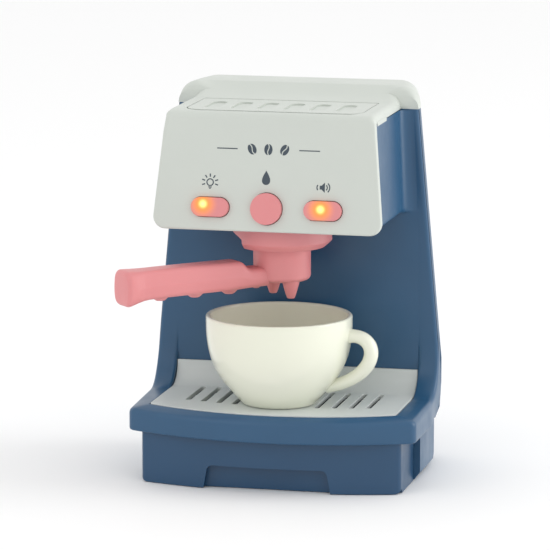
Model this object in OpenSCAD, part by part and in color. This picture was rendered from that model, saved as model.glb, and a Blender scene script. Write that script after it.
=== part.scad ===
// Toy coffee maker: a column with an overhanging head, a slotted drip tray, a pull-out
// water drawer, a twisting portafilter, three push buttons and a loose cup.
// Millimetres, +Z up, the front faces -Y. The origin is on the ground, under the middle
// of the whole footprint; the column's front face is the plane y = col_y.

/* [Column] */
// Distance back from the origin to the column's front face
col_y = 36; // [32:1:42]
// Depth of the column behind its front face
col_d = 49; // [47:1:56]
// Width of the column where it is widest, just above the deck
col_w = 170.6; // [166:0.2:180]
// Width of the column at its top edge
col_top_w = 143.8; // [140:0.2:150]
// Height of the column's top edge, where the white cover starts
col_top_z = 213.5; // [211:0.5:222]
// Radius of the column's upright rear corners
corner_r = 26; // [22:1:30]
// Depth of the front shell's sides, up to the seam with the rear shell
rim_d = 6; // [5.5:0.5:8]
// How far each side of the rear shell draws in from the seam to the back
rear_in = 10; // [6:0.5:11]
// Wall thickness of the blue and white mouldings
wall = 2.4; // [2:0.1:2.8]

/* [Deck and drawer] */
// Distance forward from the origin to the middle of the lip's front edge
lip_reach = 52.5; // [51:0.5:56]
// Height of the lip's underside, above the ground
deck_z = 29.9; // [28:0.1:33]
// Height of the lip's upright band
lip_h = 12.3; // [11:0.1:13]
// Radius in plan of the lip's bowed front edge
bow_r = 190; // [170:5:260]
// Width of the tray insert
tray_w = 145.4; // [142:0.2:147]
// Distance forward from the origin to the middle of the tray's front edge
tray_reach = 47; // [44:0.5:48]
// Height of the tray's flat top, above the ground
tray_z = 45.9; // [45:0.1:47]
// Thickness of the tray's sheet
tray_t = 1.8; // [1.5:0.1:2]
// Height that the tray's back edge rises above its flat top
tray_rise = 13.7; // [10:0.1:16]
// Number of drain slots in the tray
slots = 12; // [6:2:12]
// Distance between neighbouring drain slots
slot_pitch = 9.75; // [8:0.05:10.5]
// Width of a drain slot
slot_w = 3.2; // [2:0.1:4]
// Width of the water drawer's front
drawer_w = 153.6; // [150:0.2:154]
// Distance forward from the origin to the middle of the drawer's front
drawer_reach = 46; // [44:0.5:49]
// Depth of the finger recess in the drawer's front
grip_d = 7.5; // [5:0.5:9]
// Height of the finger recess
grip_h = 14; // [10:0.5:18]
// Width of the finger recess along its top
grip_w = 70; // [50:1:90]

/* [Head] */
// Height of the head's underside, above the ground
head_z = 152.8; // [151:0.2:158]
// Width of the head along its underside
head_w = 127.6; // [125:0.2:130]
// Width of the head along its top
head_top_w = 122.6; // [120:0.2:125]
// Distance forward from the origin to the fascia's lower front edge
head_reach = 44.3; // [42:0.1:46]
// Angle that the fascia leans back
fascia_tilt = 7.8; // [5:0.1:9]
// Width of the fascia along its lower edge
fascia_w = 135; // [132:0.5:137]
// Width of the fascia along its top edge
fascia_top_w = 123.8; // [122:0.2:126]
// Thickness of the fascia
fascia_t = 3; // [2.4:0.1:3.4]
// Height of the flat top plate above the column's top edge
plate_h = 5; // [4.6:0.1:6]
// Height of the cover's rear ridge above the column's top edge
ridge_h = 13; // [11:0.5:16]
// Width of the tank lid
lid_w = 103; // [100:0.5:104]
// Length of the tank lid, from front to back
lid_l = 49; // [47:0.5:49.5]

/* [Buttons] */
// Height of the buttons' row above the fascia's lower edge, along its face
button_v = 13.3; // [12:0.1:18]
// Distance from the middle button to each side button
button_x = 32.9; // [28:0.1:38]
// Diameter of the round middle button
round_d = 18; // [15:0.5:20]
// Length of a side button
pill_l = 22; // [19:0.5:24]
// Width of a side button
pill_w = 11; // [10:0.5:12]
// How far a button stands out of the fascia
button_out = 3; // [2.5:0.1:4]
// How far a button travels when pressed
button_travel = 2; // [1:0.1:2.2]

/* [Brewing group] */
// Distance forward from the origin to the brewing axis
brew_y = 4; // [2:0.5:8]
// Radius of the collar's flange
collar_r = 29; // [27:0.5:31]
// Height of the collar, down from the head's underside
collar_h = 15.5; // [14:0.1:17]
// Radius of the portafilter's bowl
bowl_r = 16.7; // [15.5:0.1:17.4]
// Height of the portafilter's bowl below the collar
bowl_h = 19.8; // [18:0.1:21]
// Length of each spout
spout_l = 9.7; // [8:0.1:10.5]
// Distance between the two spouts
spout_gap = 20.6; // [18:0.1:22]
// Distance from the brewing axis to the end of the handle
handle_l = 105; // [95:0.2:112]
// Height of the handle
handle_h = 16; // [14:0.1:18]
// Angle of the handle at rest, from straight left towards the front
handle_yaw = 43; // [35:1:50]

/* [Cup] */
// Distance forward from the origin to the cup's centre
cup_y = 11.3; // [9:0.1:13]
// Radius of the cup's rim
cup_r = 42.5; // [38:0.5:43]
// Height of the cup
cup_h = 52.2; // [46:0.1:53]
// Radius of the cup's foot
cup_foot_r = 21.3; // [18:0.1:24]
// Thickness of the cup's wall
cup_wall = 3; // [2:0.1:4]
// How far the cup's handle stands out beyond the rim
cup_handle_out = 15.7; // [14:0.1:18]
// Half the thickness of the cup's handle, in the plane of its loop
ear_t = 3.6; // [3:0.1:4]
// Half the width of the cup's handle, across the plane of its loop
ear_w = 4.2; // [3.4:0.1:5]

/* [Feet, screws and batteries] */
// Height that the rubber feet stand out below the base
foot_h = 1; // [0.6:0.1:2]
// Radius of a rubber foot
foot_r = 7; // [5:0.5:9]
// Shaft radius of the self-tapping screws
screw_r = 1.4; // [1.2:0.1:1.6]
// Length of a base screw's shaft
base_screw_l = 11; // [9:0.5:14]
// Diameter of a battery
cell_d = 14.2; // [14:0.1:14.5]
// Length of a battery
cell_l = 49.8; // [49:0.1:50.5]

/* [Fits] */
// Gap round a piece that is only laid or dropped in place
loose = 0.3; // [0.2:0.05:0.4]
// Gap round a button in its hole
button_gap = 0.4; // [0.3:0.05:0.5]
// Radial clearance of a pin, shaft or screw in its hole
running = 0.05; // [0.02:0.01:0.1]

/* [Hidden] */
$fn = 64;

// Colours
blue = [0.14, 0.25, 0.36];
white = [0.84, 0.86, 0.84];
pink = [0.90, 0.50, 0.53];
grey = [0.62, 0.65, 0.65];
cream = [0.93, 0.93, 0.86];
dark = [0.15, 0.15, 0.16];
steel = [0.70, 0.70, 0.72];

eps = 0.01;
reach = 400;

// Column: the seam between the shells, and the widths at each height
split_y = col_y + rim_d;
taper_y = split_y + 1;
back_y = col_y + col_d;
tuck_z = deck_z + 7;
hip_z = deck_z + 22;
waist_z = deck_z + 36;
tuck_in = 0.9;
hem_in = 3.5;
taper = (col_w - col_top_w) / 2 / (col_top_z - waist_z);
col_half = [[deck_z - wall, col_w / 2 - hem_in - 0.4 * wall], [deck_z, col_w / 2 - hem_in],
    [tuck_z, col_w / 2 - tuck_in], [hip_z, col_w / 2], [waist_z, col_w / 2],
    [2 * col_top_z, col_top_w / 2 - taper * col_top_z]];
front_corner_r = 2;
rear_ins = [[deck_z, rear_in - 2.5], [waist_z, rear_in]];
cavity_y = col_y + wall;
inner_back_y = back_y - wall;

// Deck and tray
base_z = foot_h;
floor_t = 2;
lip_side = 0.3;
lip_w = col_w - 2 * lip_side;
lip_corner_r = 5;
lip_soft = 2;
lip_top_z = deck_z + lip_h;
rail_side = 0.4;
tray_proud = 0.4;
tray_corner_r = 3;
deck_top_z = tray_z - tray_proud;
seat_z = tray_z - tray_t;
rim_w = 1.2;
tray_bow_r = 160;
tray_back_y = col_y - 0.2;
slot_bow_r = 186;
slot_front = 21.8;
slot_back_y = col_y - 14.5;
tray_curve = 13.5;
sweep_d = 22;
sweep_h = 29.5;

// Base tub and drawer
tub_in = 4.5;
tub_w = col_w - 2 * tub_in;
tub_corner_r = 28;
tub_rear_in = rear_in - 3;
tub_steps = 12;
tub_reach = 33.1;
tub_front_y = col_y - tub_reach;
tub_hem_in = 3.5;
tub_hem_h = 4.5;
back_step = 1;
tub_top_z = deck_z - loose;
front_screw_x = tub_w / 2 - 8.3;
boss_r = 4.2;
drawer_step_w = 2 * (front_screw_x - boss_r - 2.3);
drawer_back_y = 30;
drawer_gap = 0.5;
drawer_side = 0.8;
drawer_back_gap = 0.4;
drawer_floor_z = base_z + floor_t + drawer_gap;
drawer_corner_r = 3;
grip_slant = 3.5;
grip_corner_r = 4;
rib_gap = 1;
drawer_top_z = deck_z - loose;
drawer_bow_r = 250;
tongue_w = drawer_w - 15.6;
tongue_front = 30;

// Head, fascia and cover
fascia_drop = 1.6;
fascia_rise = 2.1;
fascia_low_r = 8;
fascia_top_r = 4;
fascia_z = head_z - fascia_drop;
head_top_z = col_top_z - 0.5;
fascia_l = (col_top_z + fascia_rise - fascia_z) / cos(fascia_tilt);
cover_z = col_top_z + 2 * eps;
plate_z = col_top_z + plate_h;
ridge_z = col_top_z + ridge_h;
cover_front_y = fascia_y(col_top_z) + fascia_t + loose + 1;
lid_back_y = 20;
lid_front_y = lid_back_y - lid_l;
lid_t = 2.2;
skirt_gap = 1;
skirt_t = 1.4;
skirt_h = 3;
dips = 6;
dip_pitch = 15.4;
dip_w = 8.4;
dip_d = 1;
dip_front = 9;
dip_back = 12;
pin_l = 3;
pin_root = 3.4;
pin_slot = 12;
lid_corner_r = 9;
pivot_y = lid_back_y - 1.4;
pivot_z = plate_z - 2.1;
pin_r = 1.2;
hinge_gap = 1.2;
ledge_z = plate_z - lid_t - 0.1;
ledge_t = 2.4;
rise_y = col_y + 11;

// Water tank and what hangs on it
tank_w = 88;
tank_front_y = -20;
tank_back_y = 14;
tank_wall = 1.8;
tank_z = head_z + 19;
seal_h = 1;
tank_top_z = ledge_z - ledge_t - seal_h;
mouth_lip = 3;
hose_r = 3;
hose_bore = 1.8;
spigot_l = 8;
spigot_bore = 0.9;
pump_x = 9;
pump_z = head_z + 27;
pump_r = 13;
pump_y = 50;
pump_d = 12;
motor_r = 10;
motor_l = 18;
shaft_r = 1;
shaft_in = 6;
hub_r = 3;
blade_t = 1.2;
outlet_z = head_z + 7.2;
nozzle_r = 12;
nozzle_h = 4;
jet_r = 0.7;
bend_r = 5;

// Buttons: places along the fascia, and the parts behind it
board_w_out = -16;
board_t = 1.6;
board_h = 20;
board_l = 108;
board_v = 7.6;
floor_clear = -9;
flange_t = 1.2;
flange_out = 1.6;
stem_r = 2;
switch_w = 6.4;
switch_h = 3.6;
switch_tip = 0.8;
switch_tip_r = 1.4;
led_x = 4.6;
led_r = 1.5;
led_h = 7;
cap_skin = 1.4;
coil_t = 0.6;
button_xs = [-button_x, 0, button_x];
stem_xs = [4, 0, 4];

// Brewing group
collar_z = head_z - collar_h;
collar_cut_x = 18.5;
cut_w = 7.5;
cut_top_z = head_z - 3.6;
collar_soft = 2.5;
ledge_gap = 1.2;
ledge_w = 3.6;
ledge_r = bowl_r + ledge_gap;
collar_bore_r = ledge_r + ledge_w;
notch_a = 34;
lug_a = 30;
bowl_wall = 2;
bowl_soft = 3;
collar_ledge_h = 1.8;
lug_h = 2;
bowl_z = collar_z - bowl_h;
lug_z = collar_z + collar_ledge_h + 0.1;
spout_r = 5;
spout_tip_r = 2.15;
spout_bore = 1.2;
handle_back = 43;
handle_w = 17;
handle_drop = 14.1;
handle_z = collar_z - handle_drop;
tenon_w = 9.6;
grip_end = 21;
grip_drop = 4.4;
bump_pitch = 22.4;
bump_r = 6.2;
bumps = 3;
bump_end = 25;

// Battery housing
cells = 3;
cell_pitch = cell_d + 1.4;
box_wall = 1.6;
box_z = 52;
contact_w = 8;
contact_t = 2;
nub_r = 2.7;
nub_h = 1;
box_w = cell_l + 2 * box_wall + 2 * contact_t;
box_h = cells * cell_pitch + 2 * box_wall;
frame_y = inner_back_y - wall;
box_back_y = frame_y - 0.1;
box_front_y = box_back_y - cell_d - box_wall - 1;
door_w = box_w + 6;
door_h = box_h + 4;
door_z = box_z - 2;
door_t = 2;
tab_up = 5;
tab_z = door_z + door_h + tab_up;
tab_r = 5.2;
tab_w = 8;
tab_t = 3.2;
head_t = 1.8;
head_sink = 0.2;

// Speaker
speaker_x = -21;
speaker_z = 184;
speaker_r = 15;
speaker_d = 9;
grille_pitch = 4.4;
grille_r = 1.2;

// ---------------------------------------------------------------- shared shapes

function unit(v) = v / norm(v);

// Points of the arc that rounds corner b, between its neighbours a and c
function corner(a, b, c, r, n) =
    let (u = unit(a - b), v = unit(c - b), half = acos(u * v) / 2)
    let (o = b + unit(u + v) * r / sin(half))
    let (s = b + u * r / tan(half) - o, e = b + v * r / tan(half) - o)
    let (a0 = atan2(s[1], s[0]), turn = atan2(s[0] * e[1] - s[1] * e[0], s * e))
    [for (i = [0:n]) o + r * [cos(a0 + turn * i / n), sin(a0 + turn * i / n)]];

// A polygon's points with each corner rounded by its own radius
function rounded(p, r, n = 6) =
    [for (i = [0:len(p) - 1])
        each r[i] > 0
            ? corner(p[(i + len(p) - 1) % len(p)], p[i], p[(i + 1) % len(p)], r[i], n)
            : [p[i]]];

// y of a front edge that bows forward to y0 at the middle
function bow(x, y0, r) = y0 + r - sqrt(r * r - x * x);

// Plan outline with a bowed front, front corners of radius cf and rear corners of radius cr
function bowed_plan(half, y0, y1, r, cf, cr, n = 6) =
    rounded(
        concat([[-half, bow(half, y0, r)]],
            [for (i = [-n:n]) let (x = i / n * (half - 1.6 * cf)) [x, bow(x, y0, r)]],
            [[half, bow(half, y0, r)], [half, y1], [-half, y1]]),
        concat([cf], [for (i = [-n:n]) 0], [cf, cr, cr]));

// y of the fascia's front face at height z
function fascia_y(z) = -head_reach + (z - fascia_z) * tan(fascia_tilt);

// Side profile in (y, z), extruded along X over the width w
module across(w) rotate([90, 0, 90]) translate([0, 0, -w / 2]) linear_extrude(w) children();

// Front profile in (x, z), extruded along Y from y0 to y1
module along(y0, y1) translate([0, y1, 0]) rotate([90, 0, 0]) linear_extrude(y1 - y0) children();

// A box by its two corners
module span(a, b) translate(a) cube(b - a);

// A thin slice for a hull
module slice(z, points) translate([0, 0, z]) linear_extrude(eps) polygon(points);

// A cylinder along +Y
module rod_y(r, y0, y1) translate([0, y0, 0]) rotate([-90, 0, 0]) cylinder(r = r, h = y1 - y0);

// Local frame of the fascia: x across, y up its face, z out of its face
module on_fascia() translate([0, -head_reach, fascia_z]) rotate([90 - fascia_tilt, 0, 0]) children();

// The column's outer form, drawn in by inset, from height z0 to z1
module column_form(inset, front_y, z0, z1) {
    hull()
        for (z = [z0, tuck_z, hip_z, waist_z, z1]) {
            half = lookup(z, col_half) - inset;
            rear = half - lookup(z, rear_ins);
            slice(z, rounded(
                [[-half, front_y], [half, front_y], [half, taper_y],
                    [rear, back_y - inset], [-rear, back_y - inset], [-half, taper_y]],
                [front_corner_r, front_corner_r, 0, corner_r - inset, corner_r - inset, 0]));
        }
}

// Outline of the tray, grown by g
module tray_outline(g) polygon(bowed_plan(tray_w / 2 + g, -tray_reach - g, tray_back_y + g,
    tray_bow_r, tray_corner_r, 0));

// Side profile of the top of the white cover, lowered by d and drawn in by d at its ends
module cover_profile(d) {
    front = cover_front_y + d;
    polygon(concat(
        [[front, col_top_z - 1], [front, plate_z - 3 - d], [front + 3, plate_z - d]],
        [for (i = [0:6]) let (t = i / 6) [
            lid_back_y + hinge_gap + 1 + t * (rise_y - lid_back_y - hinge_gap - 1),
            plate_z - d + (ridge_h - plate_h - 1.5) * (1 - cos(90 * t))]],
        [for (i = [1:4]) let (t = i / 4) [rise_y + t * 22, ridge_z - d - 1.5 * (1 - sin(90 * t))]],
        [for (i = [1:5]) let (t = i / 5) [
            col_y + 33 + (col_d - 33 - d) * sin(90 * t),
            ridge_z - d - (ridge_h - 4) * (1 - cos(90 * t))]],
        [[back_y - d, col_top_z - 1]]));
}

// ---------------------------------------------------------------- blue mouldings

module head_form(inset, y0, z0, z1) {
    intersection() {
        across(reach)
            polygon([[fascia_y(z0) + y0, z0], [split_y + inset, z0], [split_y + inset, z1],
                [fascia_y(z1) + y0, z1]]);
        along(-reach / 2, split_y + 1)
            polygon([[-head_w / 2 + inset, head_z], [head_w / 2 - inset, head_z],
                [head_top_w / 2 - inset, head_top_z], [head_top_w / 2 - inset, z1 + 1],
                [-head_top_w / 2 + inset, z1 + 1], [-head_top_w / 2 + inset, head_top_z]]);
    }
}

// The rails that sweep from the column's face down to the deck
module sweep_form() {
    across(lip_w - 2 * rail_side)
        polygon(concat(
            [[split_y - 1, lip_top_z - 2], [split_y - 1, deck_top_z + sweep_h], [col_y, deck_top_z + sweep_h]],
            [for (i = [1:7]) let (a = 90 * i / 8) [
                col_y - sweep_d + sweep_d * cos(a), deck_top_z + sweep_h - sweep_h * sin(a)]],
            [[col_y - sweep_d, deck_top_z], [col_y - sweep_d, lip_top_z - 2]]));
}

// Plan of the lip, drawn in by g
function lip_plan(g) = bowed_plan(lip_w / 2 - g, -lip_reach + g, col_y + 1, bow_r, lip_corner_r - g, 0);

// The lip's band with its long edges rounded, and the slope from it up to the tray
module deck_form() hull() {
    for (a = [0:30:90]) {
        slice(deck_z + lip_soft * (1 - cos(a)), lip_plan(lip_soft * (1 - sin(a))));
        slice(lip_top_z - eps - lip_soft * (1 - cos(a)), lip_plan(lip_soft * (1 - sin(a))));
    }
    slice(deck_top_z - eps, bowed_plan(tray_w / 2 + rim_w, -tray_reach - rim_w, col_y + 1,
        tray_bow_r, tray_corner_r + rim_w, 0));
}

case_screw_x = col_w / 2 - 22.3;
low_screw_z = deck_z + 30.1;
top_screw_z = head_z - 14;
front_screw_y = tub_front_y + 13.1;
rear_screw_x = tub_w / 2 - 28.8;
rear_screw_y = back_y - 11;
case_screw_at = [for (z = [low_screw_z, top_screw_z], s = [-1, 1]) [s * case_screw_x, z]];
base_screw_at = [[-front_screw_x, front_screw_y], [front_screw_x, front_screw_y],
    [-rear_screw_x, rear_screw_y], [rear_screw_x, rear_screw_y]];
boss_h = 16;
rib_t = 3;
boss_y = split_y + 6;
case_seat_y = boss_y + 4;
screw_tip_y = col_y + 2;
tank_rest_x = tank_w / 2 - 14;
drain_x = tray_w / 2 - 8.7;
drain_front_y = -tray_reach + 13;
drain_back_y = col_y - 9;
relief_x = board_l / 2;
relief_y = -head_reach + 12.3;
relief_low = 1.4;

module front_shell() {
    color(blue)
    difference() {
        union() {
            intersection() {
                column_form(0, col_y, deck_z, col_top_z);
                span([-reach, col_y - 1, 0], [reach, split_y, reach]);
            }
            head_form(0, fascia_t / cos(fascia_tilt), head_z, head_top_z);
            deck_form();
            sweep_form();
        }
        difference() {
            union() {
                column_form(wall, cavity_y, deck_z - 1, col_top_z + 1);
                head_form(wall, -20, head_z + wall, head_top_z + 20);
                translate([0, 0, deck_z - 1]) linear_extrude(lip_top_z - wall - deck_z + 1)
                    polygon(bowed_plan(lip_w / 2 - wall, -lip_reach + wall, cavity_y + 1, bow_r,
                        lip_corner_r - wall, 0));
            }
            for (p = case_screw_at)
                translate([p[0], 0, p[1]]) rod_y(boss_r, col_y + 1, split_y + 1);
            for (i = [0, 1]) translate([base_screw_at[i][0], base_screw_at[i][1], tub_top_z])
                cylinder(r = boss_r, h = lip_top_z - tub_top_z);
            for (x = [-tank_rest_x, tank_rest_x])
                span([x - rib_t / 2, tank_front_y, head_z + 1], [x + rib_t / 2, tank_back_y, tank_z - running]);
        }
        span([-tray_w / 2 - loose, 0, seat_z], [tray_w / 2 + loose, col_y, head_z]);
        translate([0, 0, seat_z]) linear_extrude(reach / 10) tray_outline(loose);
        span([-drain_x, drain_front_y, deck_z], [drain_x, drain_back_y, seat_z + 1]);
        for (p = case_screw_at)
            translate([p[0], 0, p[1]]) rod_y(screw_r + running, screw_tip_y - 0.4, split_y + 1);
        for (i = [0, 1]) translate([base_screw_at[i][0], base_screw_at[i][1], tub_top_z - 1])
            cylinder(r = screw_r + running, h = base_screw_l - 1);
        translate([0, -brew_y, head_z - 1]) cylinder(r = hose_r + loose, h = wall + 2);
        span([-relief_x, -reach, head_z + relief_low], [relief_x, relief_y, head_z + wall + 0.5]);
    }
    color(blue)
    for (p = case_screw_at) translate([p[0], 0, p[1]]) difference() {
        rod_y(boss_r, split_y - 0.5, boss_y);
        rod_y(screw_r + running, 0, reach);
    }
}

module rear_shell() {
    color(blue)
    difference() {
        union() {
            difference() {
                intersection() {
                    column_form(0, col_y, deck_z, col_top_z);
                    span([-reach, split_y, 0], [reach, reach, reach]);
                }
                column_form(wall, cavity_y, deck_z - 1, col_top_z + 1);
            }
            intersection() {
                column_form(0.5, col_y, deck_z - 0.5, col_top_z);
                rear_fittings();
            }
        }
        translate([0, 0, tub_top_z - 5]) cylinder(r = reach, h = 5);
        span([-door_w / 2 - loose, back_y - door_t - 0.2, door_z - loose],
            [door_w / 2 + loose, reach, door_z + door_h + loose]);
        span([-box_w / 2 + box_wall, 0, box_z + box_wall],
            [box_w / 2 - box_wall, reach, box_z + box_h - box_wall]);
        span([-tab_w / 2 - loose, back_y - tab_t - 0.2, door_z], [tab_w / 2 + loose, reach, tab_z]);
        translate([0, 0, tab_z]) {
            rod_y(screw_r + running, inner_back_y - 5, reach);
            rod_y(tab_r + loose, back_y - tab_t - 0.2, reach);
        }
        for (p = case_screw_at) translate([p[0], 0, p[1]]) {
            rod_y(screw_r + running, split_y - 1, reach);
            rod_y(screw_r * 2 + loose, case_seat_y, reach);
            rod_y(boss_r + loose, 0, boss_y);
        }
        for (i = [2, 3]) translate([base_screw_at[i][0], base_screw_at[i][1], tub_top_z - 1])
            cylinder(r = screw_r + running, h = base_screw_l + 1);
        translate([pump_x, 0, pump_z]) rod_y(motor_r + running, pump_y + pump_d, inner_back_y - 0.5);
        for (ring = [0:2], k = [0:max(0, 6 * ring - 1)]) let (a = ring == 0 ? 0 : 360 * k / (6 * ring))
            translate([speaker_x + ring * grille_pitch * cos(a), 0, speaker_z + ring * grille_pitch * sin(a)])
                rod_y(grille_r, inner_back_y - 1, reach);
    }
}

// Screw tubes, the battery frame and its brackets, the speaker's ring and the motor's bed
module rear_fittings() {
    for (p = case_screw_at) translate([p[0], 0, p[1]]) rod_y(boss_r, boss_y, back_y);
    for (i = [2, 3]) translate([base_screw_at[i][0], base_screw_at[i][1], tub_top_z]) {
        cylinder(r = boss_r, h = boss_h);
        span([-rib_t / 2, 0, 0], [rib_t / 2, reach / 10, boss_h]);
    }
    span([-door_w / 2 - 3, frame_y, door_z - 3], [door_w / 2 + 3, back_y, door_z + door_h + 3]);
    for (s = [-1, 1]) translate([s * (box_w / 2 + loose + 1), 0, 0])
        span([-1, frame_y - 7, box_z + 2], [1, frame_y + 0.5, box_z + box_h - 2]);
    for (z = [box_z - loose - 2, box_z + box_h + loose])
        span([-box_w / 2 + 6, frame_y - 7, z], [box_w / 2 - 6, frame_y + 0.5, z + 2]);
    translate([0, 0, tab_z]) {
        rod_y(tab_r + wall, frame_y, back_y);
        rod_y(boss_r, inner_back_y - 6, inner_back_y + 1);
    }
    translate([speaker_x, 0, speaker_z]) difference() {
        rod_y(speaker_r + 2, inner_back_y - 4, inner_back_y + 1);
        rod_y(speaker_r + loose, inner_back_y - 5, inner_back_y);
    }
    span([pump_x - motor_r - 2, inner_back_y - 10, pump_z - motor_r - 4],
        [pump_x + motor_r + 2, inner_back_y + 0.5, pump_z - 2]);
}

// The tub's outline, drawn in by g
function tub_outline(g) = rounded(
    [[-tub_w / 2 + g, tub_front_y], [tub_w / 2 - g, tub_front_y], [tub_w / 2 - g, split_y],
        [tub_w / 2 - tub_rear_in - g, back_y - back_step - g],
        [-tub_w / 2 + tub_rear_in + g, back_y - back_step - g], [-tub_w / 2 + g, split_y]],
    [0, 0, 0, tub_corner_r - g, tub_corner_r - g, 0], tub_steps);

module base_tub() {
    color(blue)
    difference() {
        union() {
            difference() {
                hull() {
                    slice(base_z, tub_outline(tub_hem_in));
                    slice(base_z + tub_hem_h, tub_outline(0));
                    slice(tub_top_z - eps, tub_outline(0));
                }
                intersection() {
                    translate([0, 0, base_z + floor_t]) linear_extrude(reach) polygon(tub_outline(wall + 2));
                    span([-reach, tub_front_y + wall, 0], [reach, reach, reach]);
                }
                intersection() {
                    translate([0, 0, base_z + 6]) linear_extrude(reach) polygon(tub_outline(wall));
                    span([-reach, tub_front_y + wall, 0], [reach, reach, reach]);
                }
                span([-drawer_step_w / 2 - drawer_side, 0, base_z + floor_t],
                    [drawer_step_w / 2 + drawer_side, tub_front_y + 5, reach]);
            }
            span([-tongue_w / 2, -tongue_front, base_z], [tongue_w / 2, tub_front_y + 5, base_z + floor_t]);
            span([-tub_w / 2 + tub_hem_in + wall, drawer_back_y + rib_gap, base_z + 1],
                [tub_w / 2 - tub_hem_in - wall, drawer_back_y + rib_gap + wall, tub_top_z]);
            for (p = base_screw_at)
                translate([p[0], p[1], base_z]) cylinder(r = boss_r, h = tub_top_z - base_z);
        }
        for (p = base_screw_at) translate([p[0], p[1], 0]) {
            cylinder(r = screw_r + running, h = reach);
            cylinder(r = screw_r * 2 + loose, h = tub_top_z - 4);
        }
        for (p = foot_at) translate([p[0], p[1], 0]) cylinder(r = plug_r + running, h = base_z + floor_t + 1);
    }
}

plug_r = 2.5;
front_foot_x = tongue_w / 2 - 11;
rear_foot_x = tub_w / 2 - 18.8;
front_foot_y = -tongue_front + 12;
rear_foot_y = back_y - 35;
foot_at = [[-front_foot_x, front_foot_y], [front_foot_x, front_foot_y],
    [-rear_foot_x, rear_foot_y], [rear_foot_x, rear_foot_y]];

module rubber_feet() {
    color(dark)
    for (p = foot_at) translate([p[0], p[1], 0]) {
        cylinder(r = foot_r, h = foot_h);
        cylinder(r = plug_r, h = base_z + floor_t - 0.1);
    }
}

// A screw with its head's seat at the origin, its shaft along +Z
module screw(length) {
    translate([0, 0, -head_t]) difference() {
        cylinder(r = screw_r * 2, h = head_t);
        for (a = [0, 90]) rotate(a) translate([-screw_r * 1.3, -0.4, -1]) cube([screw_r * 2.6, 0.8, 1.9]);
    }
    translate([0, 0, -0.1]) cylinder(r = screw_r, h = length + 0.1);
}

module case_screws() {
    color(steel)
    for (p = case_screw_at) translate([p[0], case_seat_y, p[1]]) rotate([90, 0, 0])
        screw(case_seat_y - screw_tip_y);
}

module base_screws() {
    color(steel)
    for (p = base_screw_at) translate([p[0], p[1], tub_top_z - 4]) screw(base_screw_l);
}

// ---------------------------------------------------------------- white mouldings

// Outline of the lid, grown by g, and by back towards the hinge
module lid_outline(g, back) polygon(rounded(
    [[-lid_w / 2 - g, lid_front_y - g], [lid_w / 2 + g, lid_front_y - g],
        [lid_w / 2 + g, lid_back_y + back], [-lid_w / 2 - g, lid_back_y + back]],
    [lid_corner_r, lid_corner_r, 0, 0]));

module top_cover() {
    cap_half = col_top_w / 2;
    color(white)
    difference() {
        intersection() {
            union() {
                column_form(0, col_y, col_top_z - 20, ridge_z + 3);
                span([-head_top_w / 2, cover_front_y, col_top_z - 20], [head_top_w / 2, split_y, reach]);
            }
            across(reach) cover_profile(0);
            along(-reach / 2, reach / 2)
                polygon(rounded([[-cap_half - 1, cover_z], [cap_half + 1, cover_z],
                    [cap_half + 0.2, ridge_z], [-cap_half - 0.2, ridge_z]], [0, 0, 11, 11]));
        }
        intersection() {
            union() {
                column_form(wall, cavity_y, col_top_z - 20, ridge_z + 3);
                span([-head_top_w / 2 + wall, cover_front_y + wall, col_top_z - 20],
                    [head_top_w / 2 - wall, split_y, reach]);
            }
            difference() {
                across(reach) cover_profile(wall);
                span([-reach, -reach, ledge_z - ledge_t], [reach, lid_back_y + 4, reach]);
            }
        }
        translate([0, 0, ledge_z]) linear_extrude(reach) lid_outline(loose, hinge_gap);
        span([-tank_w / 2 + mouth_lip, tank_front_y + mouth_lip, 0],
            [tank_w / 2 - mouth_lip, lid_back_y + hinge_gap, reach]);
        for (s = [-1, 1]) translate([s * (lid_w / 2 - pin_slot), pivot_y, pivot_z]) rotate([0, s * 90, 0]) {
            cylinder(r = pin_r + running, h = pin_slot + pin_l + 1);
            cylinder(r = pin_r + 1.5, h = pin_slot + loose);
        }
    }
}

// Plan of the tank's mouth, drawn in by g, with corners of radius r
function mouth_plan(g, r) = rounded(
    [[-tank_w / 2 + mouth_lip + g, tank_front_y + mouth_lip + g],
        [tank_w / 2 - mouth_lip - g, tank_front_y + mouth_lip + g],
        [tank_w / 2 - mouth_lip - g, tank_back_y - mouth_lip - g],
        [-tank_w / 2 + mouth_lip + g, tank_back_y - mouth_lip - g]], [r, r, r, r]);

module tank_lid() {
    color(white)
    difference() {
        union() {
            intersection() {
                translate([0, 0, plate_z - lid_t]) linear_extrude(lid_t) lid_outline(0, 0);
                across(reach) polygon([[-reach, 0], [lid_back_y, 0], [lid_back_y, plate_z - 1],
                    [lid_back_y - 1, plate_z], [-reach, plate_z]]);
            }
            translate([0, 0, plate_z - lid_t - skirt_h]) linear_extrude(skirt_h + 0.1) difference() {
                polygon(mouth_plan(skirt_gap, 4));
                polygon(mouth_plan(skirt_gap + skirt_t, 3));
            }
            for (s = [-1, 1]) translate([s * (lid_w / 2 - pin_root), pivot_y, pivot_z]) rotate([0, s * 90, 0]) {
                cylinder(r = pin_r, h = pin_root + pin_l);
                cylinder(r = pin_r + 0.7, h = pin_root);
            }
        }
        for (i = [0:dips - 1])
            translate([(i - (dips - 1) / 2) * dip_pitch, 0, plate_z - dip_d]) linear_extrude(2)
                polygon(rounded([[-dip_w / 2, lid_front_y + dip_front], [dip_w / 2, lid_front_y + dip_front],
                [dip_w / 2, lid_back_y - dip_back], [-dip_w / 2, lid_back_y - dip_back]], [4, 4, 4, 4]));
    }
}

module tank_seal() {
    color(dark) translate([0, 0, tank_top_z]) linear_extrude(seal_h) difference() {
        translate([-tank_w / 2, tank_front_y]) square([tank_w, tank_back_y - tank_front_y]);
        translate([-tank_w / 2 + mouth_lip, tank_front_y + mouth_lip])
            square([tank_w - 2 * mouth_lip, tank_back_y - tank_front_y - 2 * mouth_lip]);
    }
}

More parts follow.
